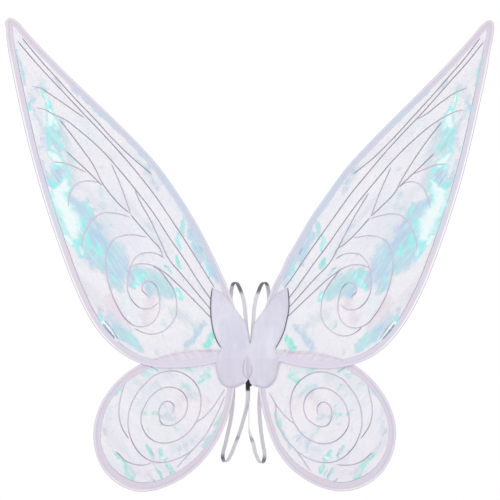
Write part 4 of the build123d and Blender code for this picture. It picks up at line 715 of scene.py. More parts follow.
# ---- materials ------------------------------------------------------------------------
class Shader:
    """A Principled material and short ways to add nodes to it."""

    def __init__(self, name, **sockets):
        self.m = bpy.data.materials.new(name)
        self.m.use_nodes = True
        self.t = self.m.node_tree
        self.t.nodes.clear()
        self.b = self.add("ShaderNodeBsdfPrincipled")
        out = self.add("ShaderNodeOutputMaterial")
        self.t.links.new(self.b.outputs[0], out.inputs[0])
        for key, value in sockets.items():
            self.b.inputs[key.replace("_", " ")].default_value = value
        self.place = self.add("ShaderNodeTexCoord").outputs["Object"]

    def mirrored(self):
        """Place with X taken without its sign, so that both sides match."""
        p = self.split(self.place)
        n = self.add("ShaderNodeCombineXYZ")
        for i, v in enumerate((self.math("ABSOLUTE", p[0]), p[1], p[2])):
            self.put(n.inputs[i], v)
        return n.outputs[0]

    def add(self, kind, **props):
        n = self.t.nodes.new(kind)
        for k, v in props.items():
            setattr(n, k, v)
        return n

    def put(self, socket, value):
        if isinstance(value, bpy.types.NodeSocket):
            self.t.links.new(value, socket)
        elif hasattr(value, "__len__") and len(value) == 3 and socket.type == "RGBA":
            socket.default_value = (*value, 1)
        else:
            socket.default_value = value

    def math(self, op, a, b=0.0, clamp=False):
        n = self.add("ShaderNodeMath", operation=op, use_clamp=clamp)
        self.put(n.inputs[0], a)
        self.put(n.inputs[1], b)
        return n.outputs[0]

    def mix(self, f, a, b, mode="MIX"):
        n = self.add("ShaderNodeMix", data_type="RGBA", blend_type=mode)
        self.put(n.inputs[0], f)
        self.put(n.inputs[6], a)
        self.put(n.inputs[7], b)
        return n.outputs[2]

    def scaled(self, vector, scale, turn=(0, 0, 0)):
        n = self.add("ShaderNodeMapping", vector_type="TEXTURE")
        self.put(n.inputs[0], vector)
        n.inputs["Scale"].default_value = [1 / max(a, 1e-6) for a in scale]
        n.inputs["Rotation"].default_value = [math.radians(a) for a in turn]
        return n.outputs[0]

    def noise(self, scale, detail=3.0, rough=0.5, vector=None, distortion=0.0):
        n = self.add("ShaderNodeTexNoise")
        self.put(n.inputs["Vector"], vector or self.place)
        n.inputs["Scale"].default_value = scale
        n.inputs["Detail"].default_value = detail
        n.inputs["Roughness"].default_value = rough
        n.inputs["Distortion"].default_value = distortion
        return n.outputs[0]

    def wave(self, scale, vector=None, direction="X", distortion=0.0, detail=0.0):
        n = self.add("ShaderNodeTexWave", bands_direction=direction)
        self.put(n.inputs["Vector"], vector or self.place)
        n.inputs["Scale"].default_value = scale
        n.inputs["Distortion"].default_value = distortion
        n.inputs["Detail"].default_value = detail
        return n.outputs[1]

    def ramp(self, f, *stops):
        n = self.add("ShaderNodeValToRGB")
        self.put(n.inputs[0], f)
        r = n.color_ramp
        while len(r.elements) < len(stops):
            r.elements.new(0.5)
        for e, (at, c) in zip(r.elements, stops):
            e.position = at
            e.color = (*c, 1) if hasattr(c, "__len__") else (c, c, c, 1)
        return n.outputs[0]

    def between(self, f, lo, hi, a=0.0, b=1.0):
        n = self.add("ShaderNodeMapRange", interpolation_type="SMOOTHSTEP")
        for i, v in enumerate((f, lo, hi, a, b)):
            self.put(n.inputs[i], v)
        return n.outputs[0]

    def attribute(self, name, what="Fac"):
        return self.add("ShaderNodeAttribute", attribute_name=name).outputs[what]

    def split(self, vector):
        n = self.add("ShaderNodeSeparateXYZ")
        self.put(n.inputs[0], vector)
        return n.outputs

    def bump(self, height, strength, distance, normal=None):
        n = self.add("ShaderNodeBump")
        n.inputs["Strength"].default_value = strength
        n.inputs["Distance"].default_value = distance
        self.put(n.inputs["Height"], height)
        if normal is not None:
            self.put(n.inputs["Normal"], normal)
        return n.outputs[0]

    def colour(self, value):
        self.put(self.b.inputs["Base Color"], value)

    def rough(self, value):
        self.put(self.b.inputs["Roughness"], value)

    def normal(self, value):
        self.put(self.b.inputs["Normal"], value)


def film_material(name, tones, cool, warm):
    s = Shader(name, IOR=1.5, Metallic=0.0)
    s.b.inputs["Specular IOR Level"].default_value = 0.4
    s.b.inputs["Thin Film Thickness"].default_value = 420
    s.b.inputs["Thin Film IOR"].default_value = 1.45
    both = s.mirrored()
    wide = s.noise(7, 2, 0.5, both, 0.6)
    drift = s.noise(16, 3, 0.55, s.scaled(both, (1, 1, 0.5), (0, 36, 0)), 0.8)
    base = s.ramp(wide, *zip((0.30, 0.46, 0.58, 0.74), tones))
    base = s.mix(s.between(drift, 0.50, 0.68, 0.0, 0.55), base, cool)
    base = s.mix(s.between(s.noise(24, 2, 0.5, both), 0.54, 0.72, 0.0, 0.5), base, warm)
    # painted sheen in soft lighter and darker bands, and painted shade along the fine creases of handled foil
    sheen = s.noise(20, 2, 0.5, s.scaled(both, (1.8, 1, 0.22), (0, 40, 0)), 0.3)
    base = s.mix(s.between(sheen, 0.52, 0.68, 0.0, 0.6), base, lin(248, 247, 251))
    base = s.mix(s.between(sheen, 0.30, 0.44, 0.30, 0.0), base, lin(214, 214, 228))
    crease = s.noise(60, 5, 0.62, s.scaled(both, (1, 1, 0.45), (0, 36, 0)), 1.0)
    base = s.mix(s.between(s.math("ABSOLUTE", s.math("SUBTRACT", crease, 0.5)), 0.0, 0.014, 0.26, 0.0), base, lin(204, 208, 224))
    # painted sparkle: tiny cyan and white glints in patches
    sparkle = s.noise(170, 3, 0.6, s.scaled(both, (1, 1, 0.3), (0, 33, 0)))
    area = s.noise(22, 2, 0.5, both, 0.5)
    base = s.mix(s.math("MULTIPLY", s.between(sparkle, 0.62, 0.68), s.between(area, 0.50, 0.58, 0.0, 0.7)), base, lin(182, 222, 229))
    base = s.mix(s.math("MULTIPLY", s.between(sparkle, 0.34, 0.39, 1.0, 0.0), s.between(area, 0.44, 0.54, 0.0, 0.6)), base, lin(252, 251, 253))
    # painted glints and reflections from the attribute, streaked lighter and darker; the foil is more opaque under them
    glint_and_tint = s.attribute("glint_and_tint", "Color")
    strong = s.attribute("glint_and_tint", "Alpha")
    streak = s.noise(240, 3, 0.6, s.scaled(both, (1, 1, 0.13), (0, 36, 0)))
    shade = s.mix(s.between(streak, 0.48, 0.68, 0.0, 0.42), glint_and_tint, lin(232, 248, 251))
    shade = s.mix(s.between(streak, 0.32, 0.46, 0.24, 0.0), shade, lin(150, 214, 224))
    ragged = s.noise(150, 4, 0.65, s.scaled(both, (1, 1, 0.35), (0, 36, 0)))
    cover = s.math("ADD", strong, s.math("MULTIPLY", s.math("SUBTRACT", ragged, 0.5), s.between(strong, 0.02, 0.35, 0.0, 1.3)))
    cover = s.between(cover, 0.03, 0.97)
    s.colour(s.mix(cover, base, shade))
    s.put(s.b.inputs["Alpha"], s.between(cover, 0.0, 1.0, 0.62, 0.97))
    s.rough(s.between(crease, 0.3, 0.7, 0.16, 0.30))
    h = s.bump(crease, 0.35, 0.0006)
    s.normal(s.bump(s.noise(420, 2, 0.5), 0.10, 0.0002, h))
    return s.m


def hem_material():
    s = Shader("welded_hem", IOR=1.5)
    s.b.inputs["Specular IOR Level"].default_value = 0.4
    s.b.inputs["Thin Film Thickness"].default_value = 380
    s.b.inputs["Thin Film IOR"].default_value = 1.4
    run = s.split(s.attribute("run", "Vector"))
    across = run[1]
    trail = s.attribute("trail")
    both = s.mirrored()
    hue = s.noise(9, 2, 0.5, both, 0.4)
    band = s.ramp(hue, (0.32, lin(224, 217, 232)), (0.46, lin(229, 214, 225)), (0.58, lin(222, 216, 232)), (0.72, lin(219, 216, 231)))
    long_streak = s.noise(60, 4, 0.6, s.scaled(s.attribute("run", "Vector"), (0.0016, 0.030, 0.0)))
    band = s.mix(s.between(long_streak, 0.50, 0.66, 0.0, 0.45), band, lin(211, 206, 224))
    band = s.mix(s.between(long_streak, 0.30, 0.44, 0.45, 0.0), band, lin(240, 235, 243))
    # leading edges are darkest beside the wire; over the wire a painted highlight, whitest on the trailing edges
    beside_wire = s.math("MULTIPLY", s.between(across, 1.6, 3.4), s.between(across, 5.0, 7.5, 1.0, 0.0))
    band = s.mix(s.math("MULTIPLY", beside_wire, s.between(trail, 0.2, 0.8, 0.45, 0.0)), band, lin(206, 200, 216))
    pale = s.mix(trail, lin(240, 235, 243), lin(252, 250, 254))
    over_wire = s.math("MULTIPLY", s.between(across, -0.9, -0.1), s.between(across, 1.6, 3.4, 1.0, 0.0))
    band = s.mix(s.math("MULTIPLY", over_wire, s.between(trail, 0.0, 1.0, 0.45, 0.95)), band, pale)
    cut = s.attribute("cut")
    line = s.math("MULTIPLY", s.between(cut, 1.5, 0.35), s.between(trail, 0.0, 1.0, 0.22, 0.95))
    band = s.mix(line, band, lin(152, 154, 174))
    # painted shade along the outer rim, where the rounded hem turns away
    rim = s.math("MULTIPLY", s.between(across, -0.25, -0.85), s.between(trail, 0.0, 1.0, 0.16, 0.95))
    band = s.mix(rim, band, lin(128, 126, 140))
    # painted glints, and the blush where the hems cross, from the attribute
    band = s.mix(s.attribute("glint_and_tint", "Alpha"), band, s.attribute("glint_and_tint", "Color"))
    s.colour(band)
    s.rough(s.between(long_streak, 0.3, 0.7, 0.22, 0.38))
    weld = s.math("MULTIPLY", s.wave(900, s.scaled(s.attribute("run", "Vector"), (0.001, 0.0, 0.0))), s.between(across, 1.6, 2.4))
    h = s.bump(weld, 0.08, 0.0001)
    s.normal(s.bump(s.noise(160, 4, 0.6), 0.45, 0.0004, h))
    return s.m


def vein_material():
    s = Shader("vein_lines", IOR=1.45)
    s.b.inputs["Specular IOR Level"].default_value = 0.35
    # painted shade and light on the raised lines, from the attribute
    painted_shade = s.attribute("painted_shade")
    n = s.noise(38, 3, 0.5)
    pale = s.mix(s.between(n, 0.4, 0.6), lin(226, 212, 226), lin(214, 204, 224))
    dark = s.mix(s.between(n, 0.4, 0.6), lin(150, 146, 164), lin(168, 156, 174))
    c = s.mix(painted_shade, pale, dark)
    # painted shade down the sides of each raised line
    across = s.math("ABSOLUTE", s.split(s.attribute("run", "Vector"))[1])
    c = s.mix(s.between(across, 0.35, 0.95, 0.0, 0.35), c, lin(176, 170, 188))
    s.colour(c)
    s.rough(s.between(s.noise(220, 2), 0.3, 0.7, 0.30, 0.48))
    s.normal(s.bump(s.noise(900, 3, 0.6), 0.3, 0.0002))
    return s.m


def cloth_material(name, light, mid, dark, warm=0.35):
    """Brushed tricot: fine wales and courses, soft blotches and a little fuzz."""
    s = Shader(name, Roughness=0.82)
    s.b.inputs["Sheen Weight"].default_value = 0.35
    s.b.inputs["Sheen Roughness"].default_value = 0.45
    s.b.inputs["Specular IOR Level"].default_value = 0.25
    wale = s.wave(330, s.scaled(s.place, (1, 1, 1)), "X", 0.8, 2.0)
    course = s.wave(240, s.place, "Z", 0.8, 2.0)
    knit = s.math("MULTIPLY", wale, course)
    blotch = s.noise(26, 4, 0.6, s.scaled(s.place, (1.6, 1, 0.55)))
    c = s.ramp(blotch, (0.30, dark), (0.50, mid), (0.70, light))
    c = s.mix(s.between(knit, 0.1, 0.8, 0.18, 0.0), c, dark)
    c = s.mix(s.between(s.noise(9, 2), 0.48, 0.66, 0.0, warm), c, lin(228, 216, 232))
    # painted shade in folds, gathers and grooves and along rolled edges, from the attribute
    fold_shade = s.attribute("fold_shade")
    c = s.mix(s.math("MULTIPLY", fold_shade, 0.8, True), c, lin(150, 147, 164))
    seam = s.attribute("seam")
    c = s.mix(s.math("MULTIPLY", seam, 0.55, True), c, lin(176, 170, 188))
    s.colour(c)
    h = s.bump(knit, 0.35, 0.00018)
    h = s.bump(s.noise(1500, 2, 0.6), 0.25, 0.00012, h)
    s.normal(s.bump(s.noise(70, 3, 0.5, s.scaled(s.place, (1.5, 1, 0.5))), 0.28, 0.0009, h))
    return s.m


def edging_material():
    s = Shader("overlocked_edge_and_shade", Roughness=0.78)
    run = s.attribute("run", "Vector")
    thread = s.wave(0.62, s.scaled(run, (1, 0.55, 0)), "X", 1.4, 1.0)
    # dark thread, its dark grey also standing in for the shade along the leaf's raised edge
    c = s.mix(s.between(thread, 0.2, 0.8), lin(92, 89, 101), lin(142, 138, 152))
    c = s.mix(s.between(s.noise(60, 3), 0.42, 0.66, 0.0, 0.45), c, lin(116, 111, 126))
    s.colour(c)
    h = s.bump(thread, 0.9, 0.0003)
    s.normal(s.bump(s.noise(1800, 2), 0.3, 0.0001, h))
    return s.m


def elastic_material():
    s = Shader("woven_elastic", Roughness=0.6)
    s.b.inputs["Sheen Weight"].default_value = 0.3
    s.b.inputs["Specular IOR Level"].default_value = 0.35
    run = s.attribute("run", "Vector")
    parts = s.split(run)
    rib = s.wave(0.32, run, "Y")
    pick = s.wave(0.42, run, "X", 0.6, 1.0)
    weave = s.math("MULTIPLY", s.between(rib, 0.1, 0.8), s.between(pick, 0.1, 0.8, 0.55, 1.0))
    c = s.mix(weave, lin(214, 213, 219), lin(240, 239, 243))
    c = s.mix(s.between(s.math("ABSOLUTE", parts[1]), 3.1, 3.8, 0.0, 0.3), c, lin(196, 194, 203))
    c = s.mix(s.between(s.noise(45, 3), 0.45, 0.65, 0.0, 0.3), c, lin(222, 217, 228))
    # painted shade along the elastic from the attribute: dark grey up to 1, nearly black up to 2
    painted_shade = s.attribute("painted_shade")
    c = s.mix(s.between(painted_shade, 0.0, 1.0), c, s.mix(weave, lin(78, 74, 86), lin(112, 107, 120)))
    c = s.mix(s.between(painted_shade, 1.0, 2.0), c, s.mix(weave, lin(20, 18, 26), lin(44, 40, 52)))
    s.colour(c)
    h = s.bump(weave, 0.7, 0.00025)
    s.normal(s.bump(s.noise(1300, 2), 0.2, 0.0001, h))
    return s.m


def band_material(name, light, dark, x_scale=700, z_scale=500, gloss=0.3, rough=0.7, shade_below=None):
    """Plain woven tape or webbing, by place. Below a given height it may be painted in deep shade."""
    s = Shader(name)
    s.b.inputs["Specular IOR Level"].default_value = gloss
    warp = s.wave(x_scale, s.place, "X", 0.4, 1.0)
    weft = s.wave(z_scale, s.place, "Z", 0.4, 1.0)
    weave = s.math("MULTIPLY", s.between(warp, 0.1, 0.9, 0.4, 1.0), s.between(weft, 0.1, 0.9, 0.4, 1.0))
    c = s.mix(weave, dark, light)
    c = s.mix(s.between(s.noise(120, 4, 0.6), 0.45, 0.7, 0.0, 0.35), c, dark)
    # painted shade below the given height
    if shade_below is not None:
        c = s.mix(s.between(s.split(s.place)[2], shade_below - 0.003, shade_below, 0.97, 0.0), c, s.mix(weave, lin(20, 18, 26), lin(44, 40, 52)))
    s.colour(c)
    s.rough(s.between(s.noise(90, 3), 0.3, 0.7, rough - 0.1, rough + 0.1))
    s.normal(s.bump(s.noise(900, 2), 0.3, 0.0001, s.bump(weave, 0.6, 0.0002)))
    return s.m


def wire_material():
    s = Shader("coated_wire", Metallic=0.0)
    s.b.inputs["Coat Weight"].default_value = 0.3
    n = s.noise(90, 4, 0.6)
    c = s.ramp(n, (0.35, lin(214, 214, 220)), (0.55, lin(232, 232, 238)), (0.75, lin(196, 196, 204)))
    chip = s.between(s.noise(420, 3, 0.6), 0.70, 0.74)
    s.colour(s.mix(chip, c, lin(120, 120, 126)))
    s.rough(s.between(n, 0.3, 0.7, 0.28, 0.46))
    s.normal(s.bump(s.noise(700, 3), 0.25, 0.0001))
    return s.m


def plate_material():
    s = Shader("stiffener_board")
    fibre = s.noise(260, 4, 0.65, s.scaled(s.place, (1, 1, 0.25), (0, 12, 0)))
    c = s.ramp(fibre, (0.32, lin(206, 204, 212)), (0.50, lin(226, 224, 232)), (0.70, lin(236, 235, 241)))
    s.colour(c)
    s.rough(s.between(fibre, 0.3, 0.7, 0.5, 0.72))
    s.normal(s.bump(fibre, 0.4, 0.0002))
    return s.m


UPPER_FILM = film_material("iridescent_film", (lin(239, 240, 248), lin(244, 243, 248), lin(248, 244, 248), lin(236, 243, 248)),
                           lin(228, 238, 244), lin(244, 236, 245))
LOWER_FILM = film_material("iridescent_film_low", (lin(241, 241, 248), lin(246, 243, 249), lin(249, 243, 248), lin(238, 242, 248)),
                           lin(230, 240, 245), lin(247, 236, 245))
HEM, VEINS = hem_material(), vein_material()
COVER = cloth_material("cover_tricot", lin(235, 233, 243), lin(224, 222, 235), lin(213, 211, 227))
PLEATS = cloth_material("centre_tricot", lin(235, 233, 243), lin(224, 222, 235), lin(213, 211, 227))
PADDING = cloth_material("pad_tricot", lin(232, 230, 240), lin(225, 223, 235), lin(214, 212, 226), 0.2)
EDGING, ELASTIC = edging_material(), elastic_material()
ANCHOR = band_material("anchor_elastic", lin(250, 250, 252), lin(232, 231, 236), 900, 650, shade_below=-0.047)
TAPE = band_material("cotton_tape", lin(232, 230, 234), lin(196, 193, 202), 1100, 900)
WRAP = band_material("wire_tape", lin(224, 222, 229), lin(186, 183, 194), 400, 1200, 0.4, 0.5)
THREAD = band_material("tack_thread", lin(206, 203, 214), lin(140, 136, 150), 300, 2600, 0.4, 0.55)
WIRE, PLATE = wire_material(), plate_material()

for node, o in NODES.items():
    for key, material in (("_wire_wraps", WRAP), ("_wire", WIRE), ("_root_plate", PLATE), ("spine_tape", TAPE),
                          ("_strap_anchor", ANCHOR), ("strap_bar_tacks", THREAD), ("_veins", VEINS), ("_film", UPPER_FILM),
                          ("_cover_edging", EDGING), ("_cover", COVER), ("center_gather", PLEATS),
                          ("center_back_pad", PADDING), ("_strap", ELASTIC)):
        if key in node:
            o.data.materials.clear()
            o.data.materials.append(material)
            break


# ---- painted glints and reflections on the foil ------------------------------------------
# colours of the painted glints and reflections, and of the softer patches
GLINT_AND_PATCH_COLOURS = {"w": lin(246, 255, 255), "c": lin(158, 247, 243), "t": lin(191, 226, 233), "b": lin(190, 216, 236),
        "l": lin(184, 208, 232), "m": lin(156, 238, 226), "g": lin(208, 227, 234), "p": lin(241, 226, 236),
        "d": lin(100, 146, 156), "k": lin(228, 214, 230), "r": lin(214, 176, 194)}


def patches(strokes, hand, upper):
    """The left films' painted glint patches, carried over to the right films."""
    if hand < 0:
        return strokes
    a = (0.9756, 0.0178, 1.3, 0.0121, 0.99, -4.1) if upper else (0.9387, 0.0645, 5.8, -0.0073, 0.9946, -0.3)
    out = []
    for kind, strength, points in strokes:
        out.append((kind, strength, [(a[0] * -x + a[1] * z + a[2], a[3] * -x + a[4] * z + a[5], r) for x, z, r in points]))
    return out


def near_stroke(points, stroke):
    """Distance to a stroke in units of its half width, and its half width there."""
    best, wide = np.full(len(points), 1e9), np.ones(len(points))
    q = np.asarray(stroke, float)
    for a, b in zip(q[:-1], q[1:]):
        d = b[:2] - a[:2]
        t = np.clip(((points - a[:2]) @ d) / max(d @ d, 1e-9), 0, 1)
        r = a[2] + (b[2] - a[2]) * t
        f = np.linalg.norm(points - a[:2] - t[:, None] * d, axis=1) / r
        wide = np.where(f < best, r, wide)
        best = np.minimum(best, f)
    return best, wide


def painted(points, strokes, sharpness=1.0):
    """RGBA at each point: painted glints and softer patches laid over each other with ragged edges."""
    x, z = points[:, 0], points[:, 1]
    jag = np.stack([value_noise(x, z, 9, 1) - 0.5, value_noise(x, z, 9, 2) - 0.5], 1) * 6.5
    jag += np.stack([value_noise(x * 1.6 + z, z - x * 0.5, 4, 3) - 0.5, value_noise(x, z, 3.4, 4) - 0.5], 1) * 3.4
    rgb, cover = np.zeros((len(points), 3)), np.zeros(len(points))
    for kind, strength, stroke in strokes:
        q = np.asarray(stroke, float)
        lo, hi = q[:, :2].min(0) - q[:, 2].max() * 1.6 - 9, q[:, :2].max(0) + q[:, 2].max() * 1.6 + 9
        near = np.flatnonzero(((points > lo) & (points < hi)).all(1))
        if not len(near):
            continue
        small = np.clip(q[:, 2].mean() / 6.0, 0.22, 1) * (0.15 if kind in "kr" else 1.0)
        f, r = near_stroke(points[near] + jag[near] * small, stroke)
        soft = {"b": 2.0, "g": 2.0, "p": 2.0, "l": 1.8, "t": 1.7, "w": 1.35, "c": 1.35, "m": 1.5, "d": 0.9, "k": 0.4, "r": 0.8}[kind]
        a = smooth((1.0 + soft * 0.42 - f) / (soft * 0.95 * sharpness)) * strength
        a = np.clip(a, 0, 1)
        old = cover[near]
        total = a + old * (1 - a)
        mixed = (np.array(GLINT_AND_PATCH_COLOURS[kind]) * a[:, None] + rgb[near] * (old * (1 - a))[:, None]) / np.maximum(total, 1e-6)[:, None]
        rgb[near] = mixed
        cover[near] = total
    return np.concatenate([rgb, cover[:, None]], 1)


# ---- wings ----------------------------------------------------------------------------------
def film_height(points, edge_line, root):
    """How far the film stands off its middle plane: soft drape and crinkles, flat at its edges."""
    x, z = points[:, 0], points[:, 1]
    d = far(points, edge_line)
    fade = smooth((d - 9) / 26) * smooth((far(points, root, True) - 2) / 26)
    h = (value_noise(x, z, 95, 11) - 0.5) * 1.6 + (value_noise(x + 0.6 * z, z - 0.6 * x, 38, 12) - 0.5) * 1.1
    crease = 1 - np.abs(2 * value_noise(x * 1.25 - z * 0.7, (z + x * 0.5) * 0.45, 17, 13) - 1)
    h += (crease ** 3 - 0.3) * 0.62
    fine = 1 - np.abs(2 * value_noise(x + 0.3 * z, z * 0.8 - 0.4 * x, 7.5, 14) - 1)
    h += (fine ** 3 - 0.3) * 0.20
    return -h * fade


def vein_shading(ways, hand):
    """Painted shade and light on the raised lines, by the way that they run."""
    a = ways[:, 0] * -hand
    slope = np.arctan2(ways[:, 1], a)
    slope = (slope + math.pi / 2) % math.pi - math.pi / 2
    # painted shade where a line runs down away from the tip, painted light where it runs upright and the other way
    down = np.exp(-((slope + math.radians(48)) / math.radians(27)) ** 2)
    level = 0.38 * np.exp(-((slope + math.radians(5)) / math.radians(20)) ** 2)
    return np.clip(np.maximum(down, level), 0.10, 1.0)


for side, hand in (("left", -1), ("right", 1)):
    half = f"{side}_half"
    for level, y, knots, leg_in, leg_out, root, veins, foil in (
            ("upper", Y_UPPER, LEFT_UPPER_WIRE if hand < 0 else RIGHT_UPPER_WIRE,
             UPPER_LEG_IN, UPPER_LEG_OUT, UPPER_ROOT[hand], LEFT_UPPER_VEINS if hand < 0 else RIGHT_UPPER_VEINS,
             UPPER_GLINTS),
            ("lower", Y_LOWER, LEFT_LOWER_WIRE if hand < 0 else RIGHT_LOWER_WIRE,
             LOWER_LEG_IN, LOWER_LEG_OUT[hand], LOWER_ROOT[hand], LEFT_LOWER_VEINS if hand < 0 else RIGHT_LOWER_VEINS,
             LOWER_GLINTS)):
        route = wing_path(leg_in, knots, leg_out, hand)
        inwards = -hand
        line, ways = sampled(route, 1.6)
        into = np.stack([-ways[:, 1], ways[:, 0]], 1) * inwards
        root_line = respaced(handed(root, hand), 3.0, closed=True)
        strokes = patches(foil, hand, level == "upper")

        # film
        outline = respaced(line, 3.0)
        coarse = hexgrid(outline, 3.4)
        fine = hexgrid(outline, 1.35)
        near = np.zeros(len(fine), bool)
        for kind, strength, stroke in strokes:
            q = np.asarray(stroke, float)
            box = ((fine > q[:, :2].min(0) - q[:, 2].max() - 5) & (fine < q[:, :2].max(0) + q[:, 2].max() + 5)).all(1)
            at = np.flatnonzero(box & ~near)
            f, r = near_stroke(fine[at], stroke)
            near[at] = (f - 1) * r < 3.0 if kind in "wcmtd" else False
        fine = fine[near]
        cells = {tuple(c) for c in np.floor(fine / 3.4).astype(int)}
        coarse = coarse[[tuple(c) not in cells for c in np.floor(coarse / 3.4).astype(int)]]
        grid = np.vstack([coarse, fine])
        grid = grid[inside(grid, outline)]
        grid = grid[~inside(grid, root_line)]
        grid = grid[(far(grid, outline, True) > 1.0) & (far(grid, root_line, True) > 1.0)]
        flat, tris, area = triangulated(
            [outline, root_line], grid,
            lambda c, o=outline, r=root_line: inside(c, o) & ~inside(c, r))
        stand = film_height(flat, line, root_line)
        # painted glints and reflections, with the softer patches, at each vertex
        glint_and_tint = painted(flat, strokes)
        if level == "lower":
            glint_and_tint[:, 3] *= 0.8
        film = shell(f"{side}_{level}_film_sheet", flat, tris, y + stand - FILM_T / 2, y + stand + FILM_T / 2,
                     UPPER_FILM if level == "upper" else LOWER_FILM, {"glint_and_tint": glint_and_tint})
        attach(film, half)
        w, h = np.ptp(outline, axis=0) / 1000 + 0.024

        # hem: the film turned round the wire and welded to itself
        out_of_root = ~inside(line, root_line)
        first, last = np.flatnonzero(out_of_root)[[0, -1]]
        p, t, n_in = line[first:last + 1], ways[first:last + 1], into[first:last + 1]
        part = np.linspace(first / len(line), last / len(line), len(p))
        if level == "upper":
            want = np.interp(part, (0, 0.44, 0.50, 0.88, 1), (10.0, 9.8, 12.0, 12.6, 11.0))
            trail = smooth((part - 0.47) / 0.05) * smooth((0.90 - part) / 0.07)
        else:
            want = np.interp(part, (0, 0.2, 0.31, 0.44, 0.56, 0.69, 0.81, 1), (12, 12.6, 11, 11.8, 16.0, 14.6, 10.6, 11.0))
            trail = 0.12 + 0.5 * smooth((part - 0.48) / 0.06) * smooth((0.66 - part) / 0.06)
        reach = want.copy()
        for w_try in np.arange(1.0, want.max() + 0.3, 0.3)[::-1]:
            q = p + n_in * w_try
            bad = far(q, line) < w_try - 0.12
            reach = np.where(bad, np.minimum(reach, w_try - 0.3), reach)
        kernel = np.ones(5) / 5
        padded_reach = np.concatenate([[reach[0]] * 2, reach, [reach[-1]] * 2])
        reach = np.minimum(np.convolve(padded_reach, kernel, "valid"), reach + 0.3)
        along = np.concatenate([[0], np.cumsum(np.linalg.norm(np.diff(p, axis=0), axis=1))])
        reach = reach * (1 + 0.05 * (value_noise(along, along * 0, 24, 5) - 0.5) * (reach > want - 0.5))
        reach = np.maximum(reach, 1.7)
        ring = []
        for w_here, s_here in zip(reach, along):
            f = max(w_here, 2.6)
            lift = 0.10 * (value_noise(np.array([s_here]), np.array([w_here]), 16, 6)[0] - 0.5)
            k = min(1.0, (w_here - 1.2) / 3.0)
            ring.append([
                (w_here, -0.16), (w_here, -0.40), (w_here - 0.45, -0.47), (1.2 + (w_here - 1.2) * 0.78, -0.40 + lift),
                (1.2 + (w_here - 1.2) * 0.5, -0.38 - lift), (1.2 + (w_here - 1.2) * 0.25, -0.44 - 0.4 * (1 - k)),
                (1.25, -0.95), (0.75, -1.15), (0.0, -1.26), (-0.7, -1.05), (-1.1, -0.60), (-1.25, 0.0),
                (-1.1, 0.60), (-0.7, 1.05), (0.0, 1.26), (0.75, 1.15), (1.25, 0.95),
                (1.2 + (w_here - 1.2) * 0.25, 0.44 + 0.4 * (1 - k)), (1.2 + (w_here - 1.2) * 0.5, 0.42 + lift),
                (1.2 + (w_here - 1.2) * 0.78, 0.44 - lift), (w_here - 0.45, 0.52), (w_here, 0.44), (w_here, 0.16)])
        ring = np.array(ring)
        centre = np.stack([p[:, 0], np.full(len(p), y), p[:, 1]], 1)
        across3 = np.stack([n_in[:, 0], np.zeros(len(p)), n_in[:, 1]], 1)
        up3 = np.tile([0.0, 1.0, 0.0], (len(p), 1))
        runs = np.stack([np.repeat(along, ring.shape[1]), ring[..., 0].ravel(), ring[..., 1].ravel()], 1)
        cut_edge = np.abs(ring[..., 0] - reach[:, None]).ravel()
        places = (p[:, None] + n_in[:, None] * ring[..., :1]).reshape(-1, 2)
        # the painted glints carried onto the hem
        glow = painted(places, [(k, s * 0.8, q) for k, s, q in strokes if k in "wcbtdr"])
        glow[:, 3] *= (ring[..., 0].ravel() > -1.3)
        # blush where the two wings' hems cross: pink along the lower wing's wire, lavender below it
        band = smooth((240 - np.abs(places[:, 0])) / 90)
        if level == "upper":
            blush, tone_b = 0.75 * band * smooth((46 - np.abs(places[:, 1] + 12)) / 22), lin(226, 219, 235)
        else:
            blush, tone_b = 0.80 * band * smooth((46 - np.abs(places[:, 1] + 8)) / 22), lin(231, 214, 229)
        blush *= 1 - glow[:, 3]
        share = blush / np.maximum(blush + glow[:, 3], 1e-6)
        glow[:, :3] = glow[:, :3] * (1 - share[:, None]) + np.array(tone_b) * share[:, None]
        glow[:, 3] = np.clip(glow[:, 3] + blush, 0, 1)
        hem = swept(f"{side}_{level}_hem", centre, across3, up3, ring, HEM,
                    {"run": runs, "cut": cut_edge, "glint_and_tint": glow, "trail": np.repeat(trail, ring.shape[1])}, 50)
        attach(hem, half)
        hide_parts(f"{side}_{level}_film")

        # raised vein lines, standing on the film
        all_verts, all_faces, all_shade, all_run = [], [], [], []
        base = 0
        half_ring = np.array([(-1.0, 0.06), (-0.92, -0.10), (-0.62, -0.30), (-0.22, -0.40), (0.22, -0.40),
                              (0.62, -0.30), (0.92, -0.10), (1.0, 0.06)])
        for vein in veins:
            vp, vt = rounded(vein, 1.5)
            vn = np.stack([-vt[:, 1], vt[:, 0]], 1)
            s_run = np.concatenate([[0], np.cumsum(np.linalg.norm(np.diff(vp, axis=0), axis=1))])
            taper = 0.45 + 0.55 * smooth(np.minimum(s_run, s_run[-1] - s_run) / 7)
            width = VEIN_W / 2 * taper * (1 + 0.10 * (value_noise(s_run, s_run * 0, 11, 7) - 0.5))
            lie = y - FILM_T / 2 + film_height(vp, line, root_line)
            # painted shade on the lines, a little deeper on the lower wings
            painted_shade = np.clip(vein_shading(vt, hand) + (0.14 if level == "lower" else 0.0), 0, 0.9 if level == "lower" else 1.0)
            k = len(half_ring)
            for i in range(len(vp)):
                for a, b in half_ring:
                    q = vp[i] + vn[i] * a * width[i]
                    all_verts.append((q[0], lie[i] + b * taper[i], q[1]))
                    all_shade.append(painted_shade[i])
                    all_run.append((s_run[i], a, b))
            for i in range(len(vp) - 1):
                for j in range(k):
                    a, b = base + i * k + j, base + i * k + (j + 1) % k
                    all_faces.append((a, b, b + k, a + k))
            all_faces.append(tuple(base + j for j in range(k))[::-1])
            all_faces.append(tuple(base + (len(vp) - 1) * k + j for j in range(k)))
            base += len(vp) * k
        lines = piece(f"{side}_{level}_vein_lines", all_verts, all_faces, VEINS, {"painted_shade": all_shade, "run": all_run})
        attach(lines, half)
        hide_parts(f"{side}_{level}_veins")


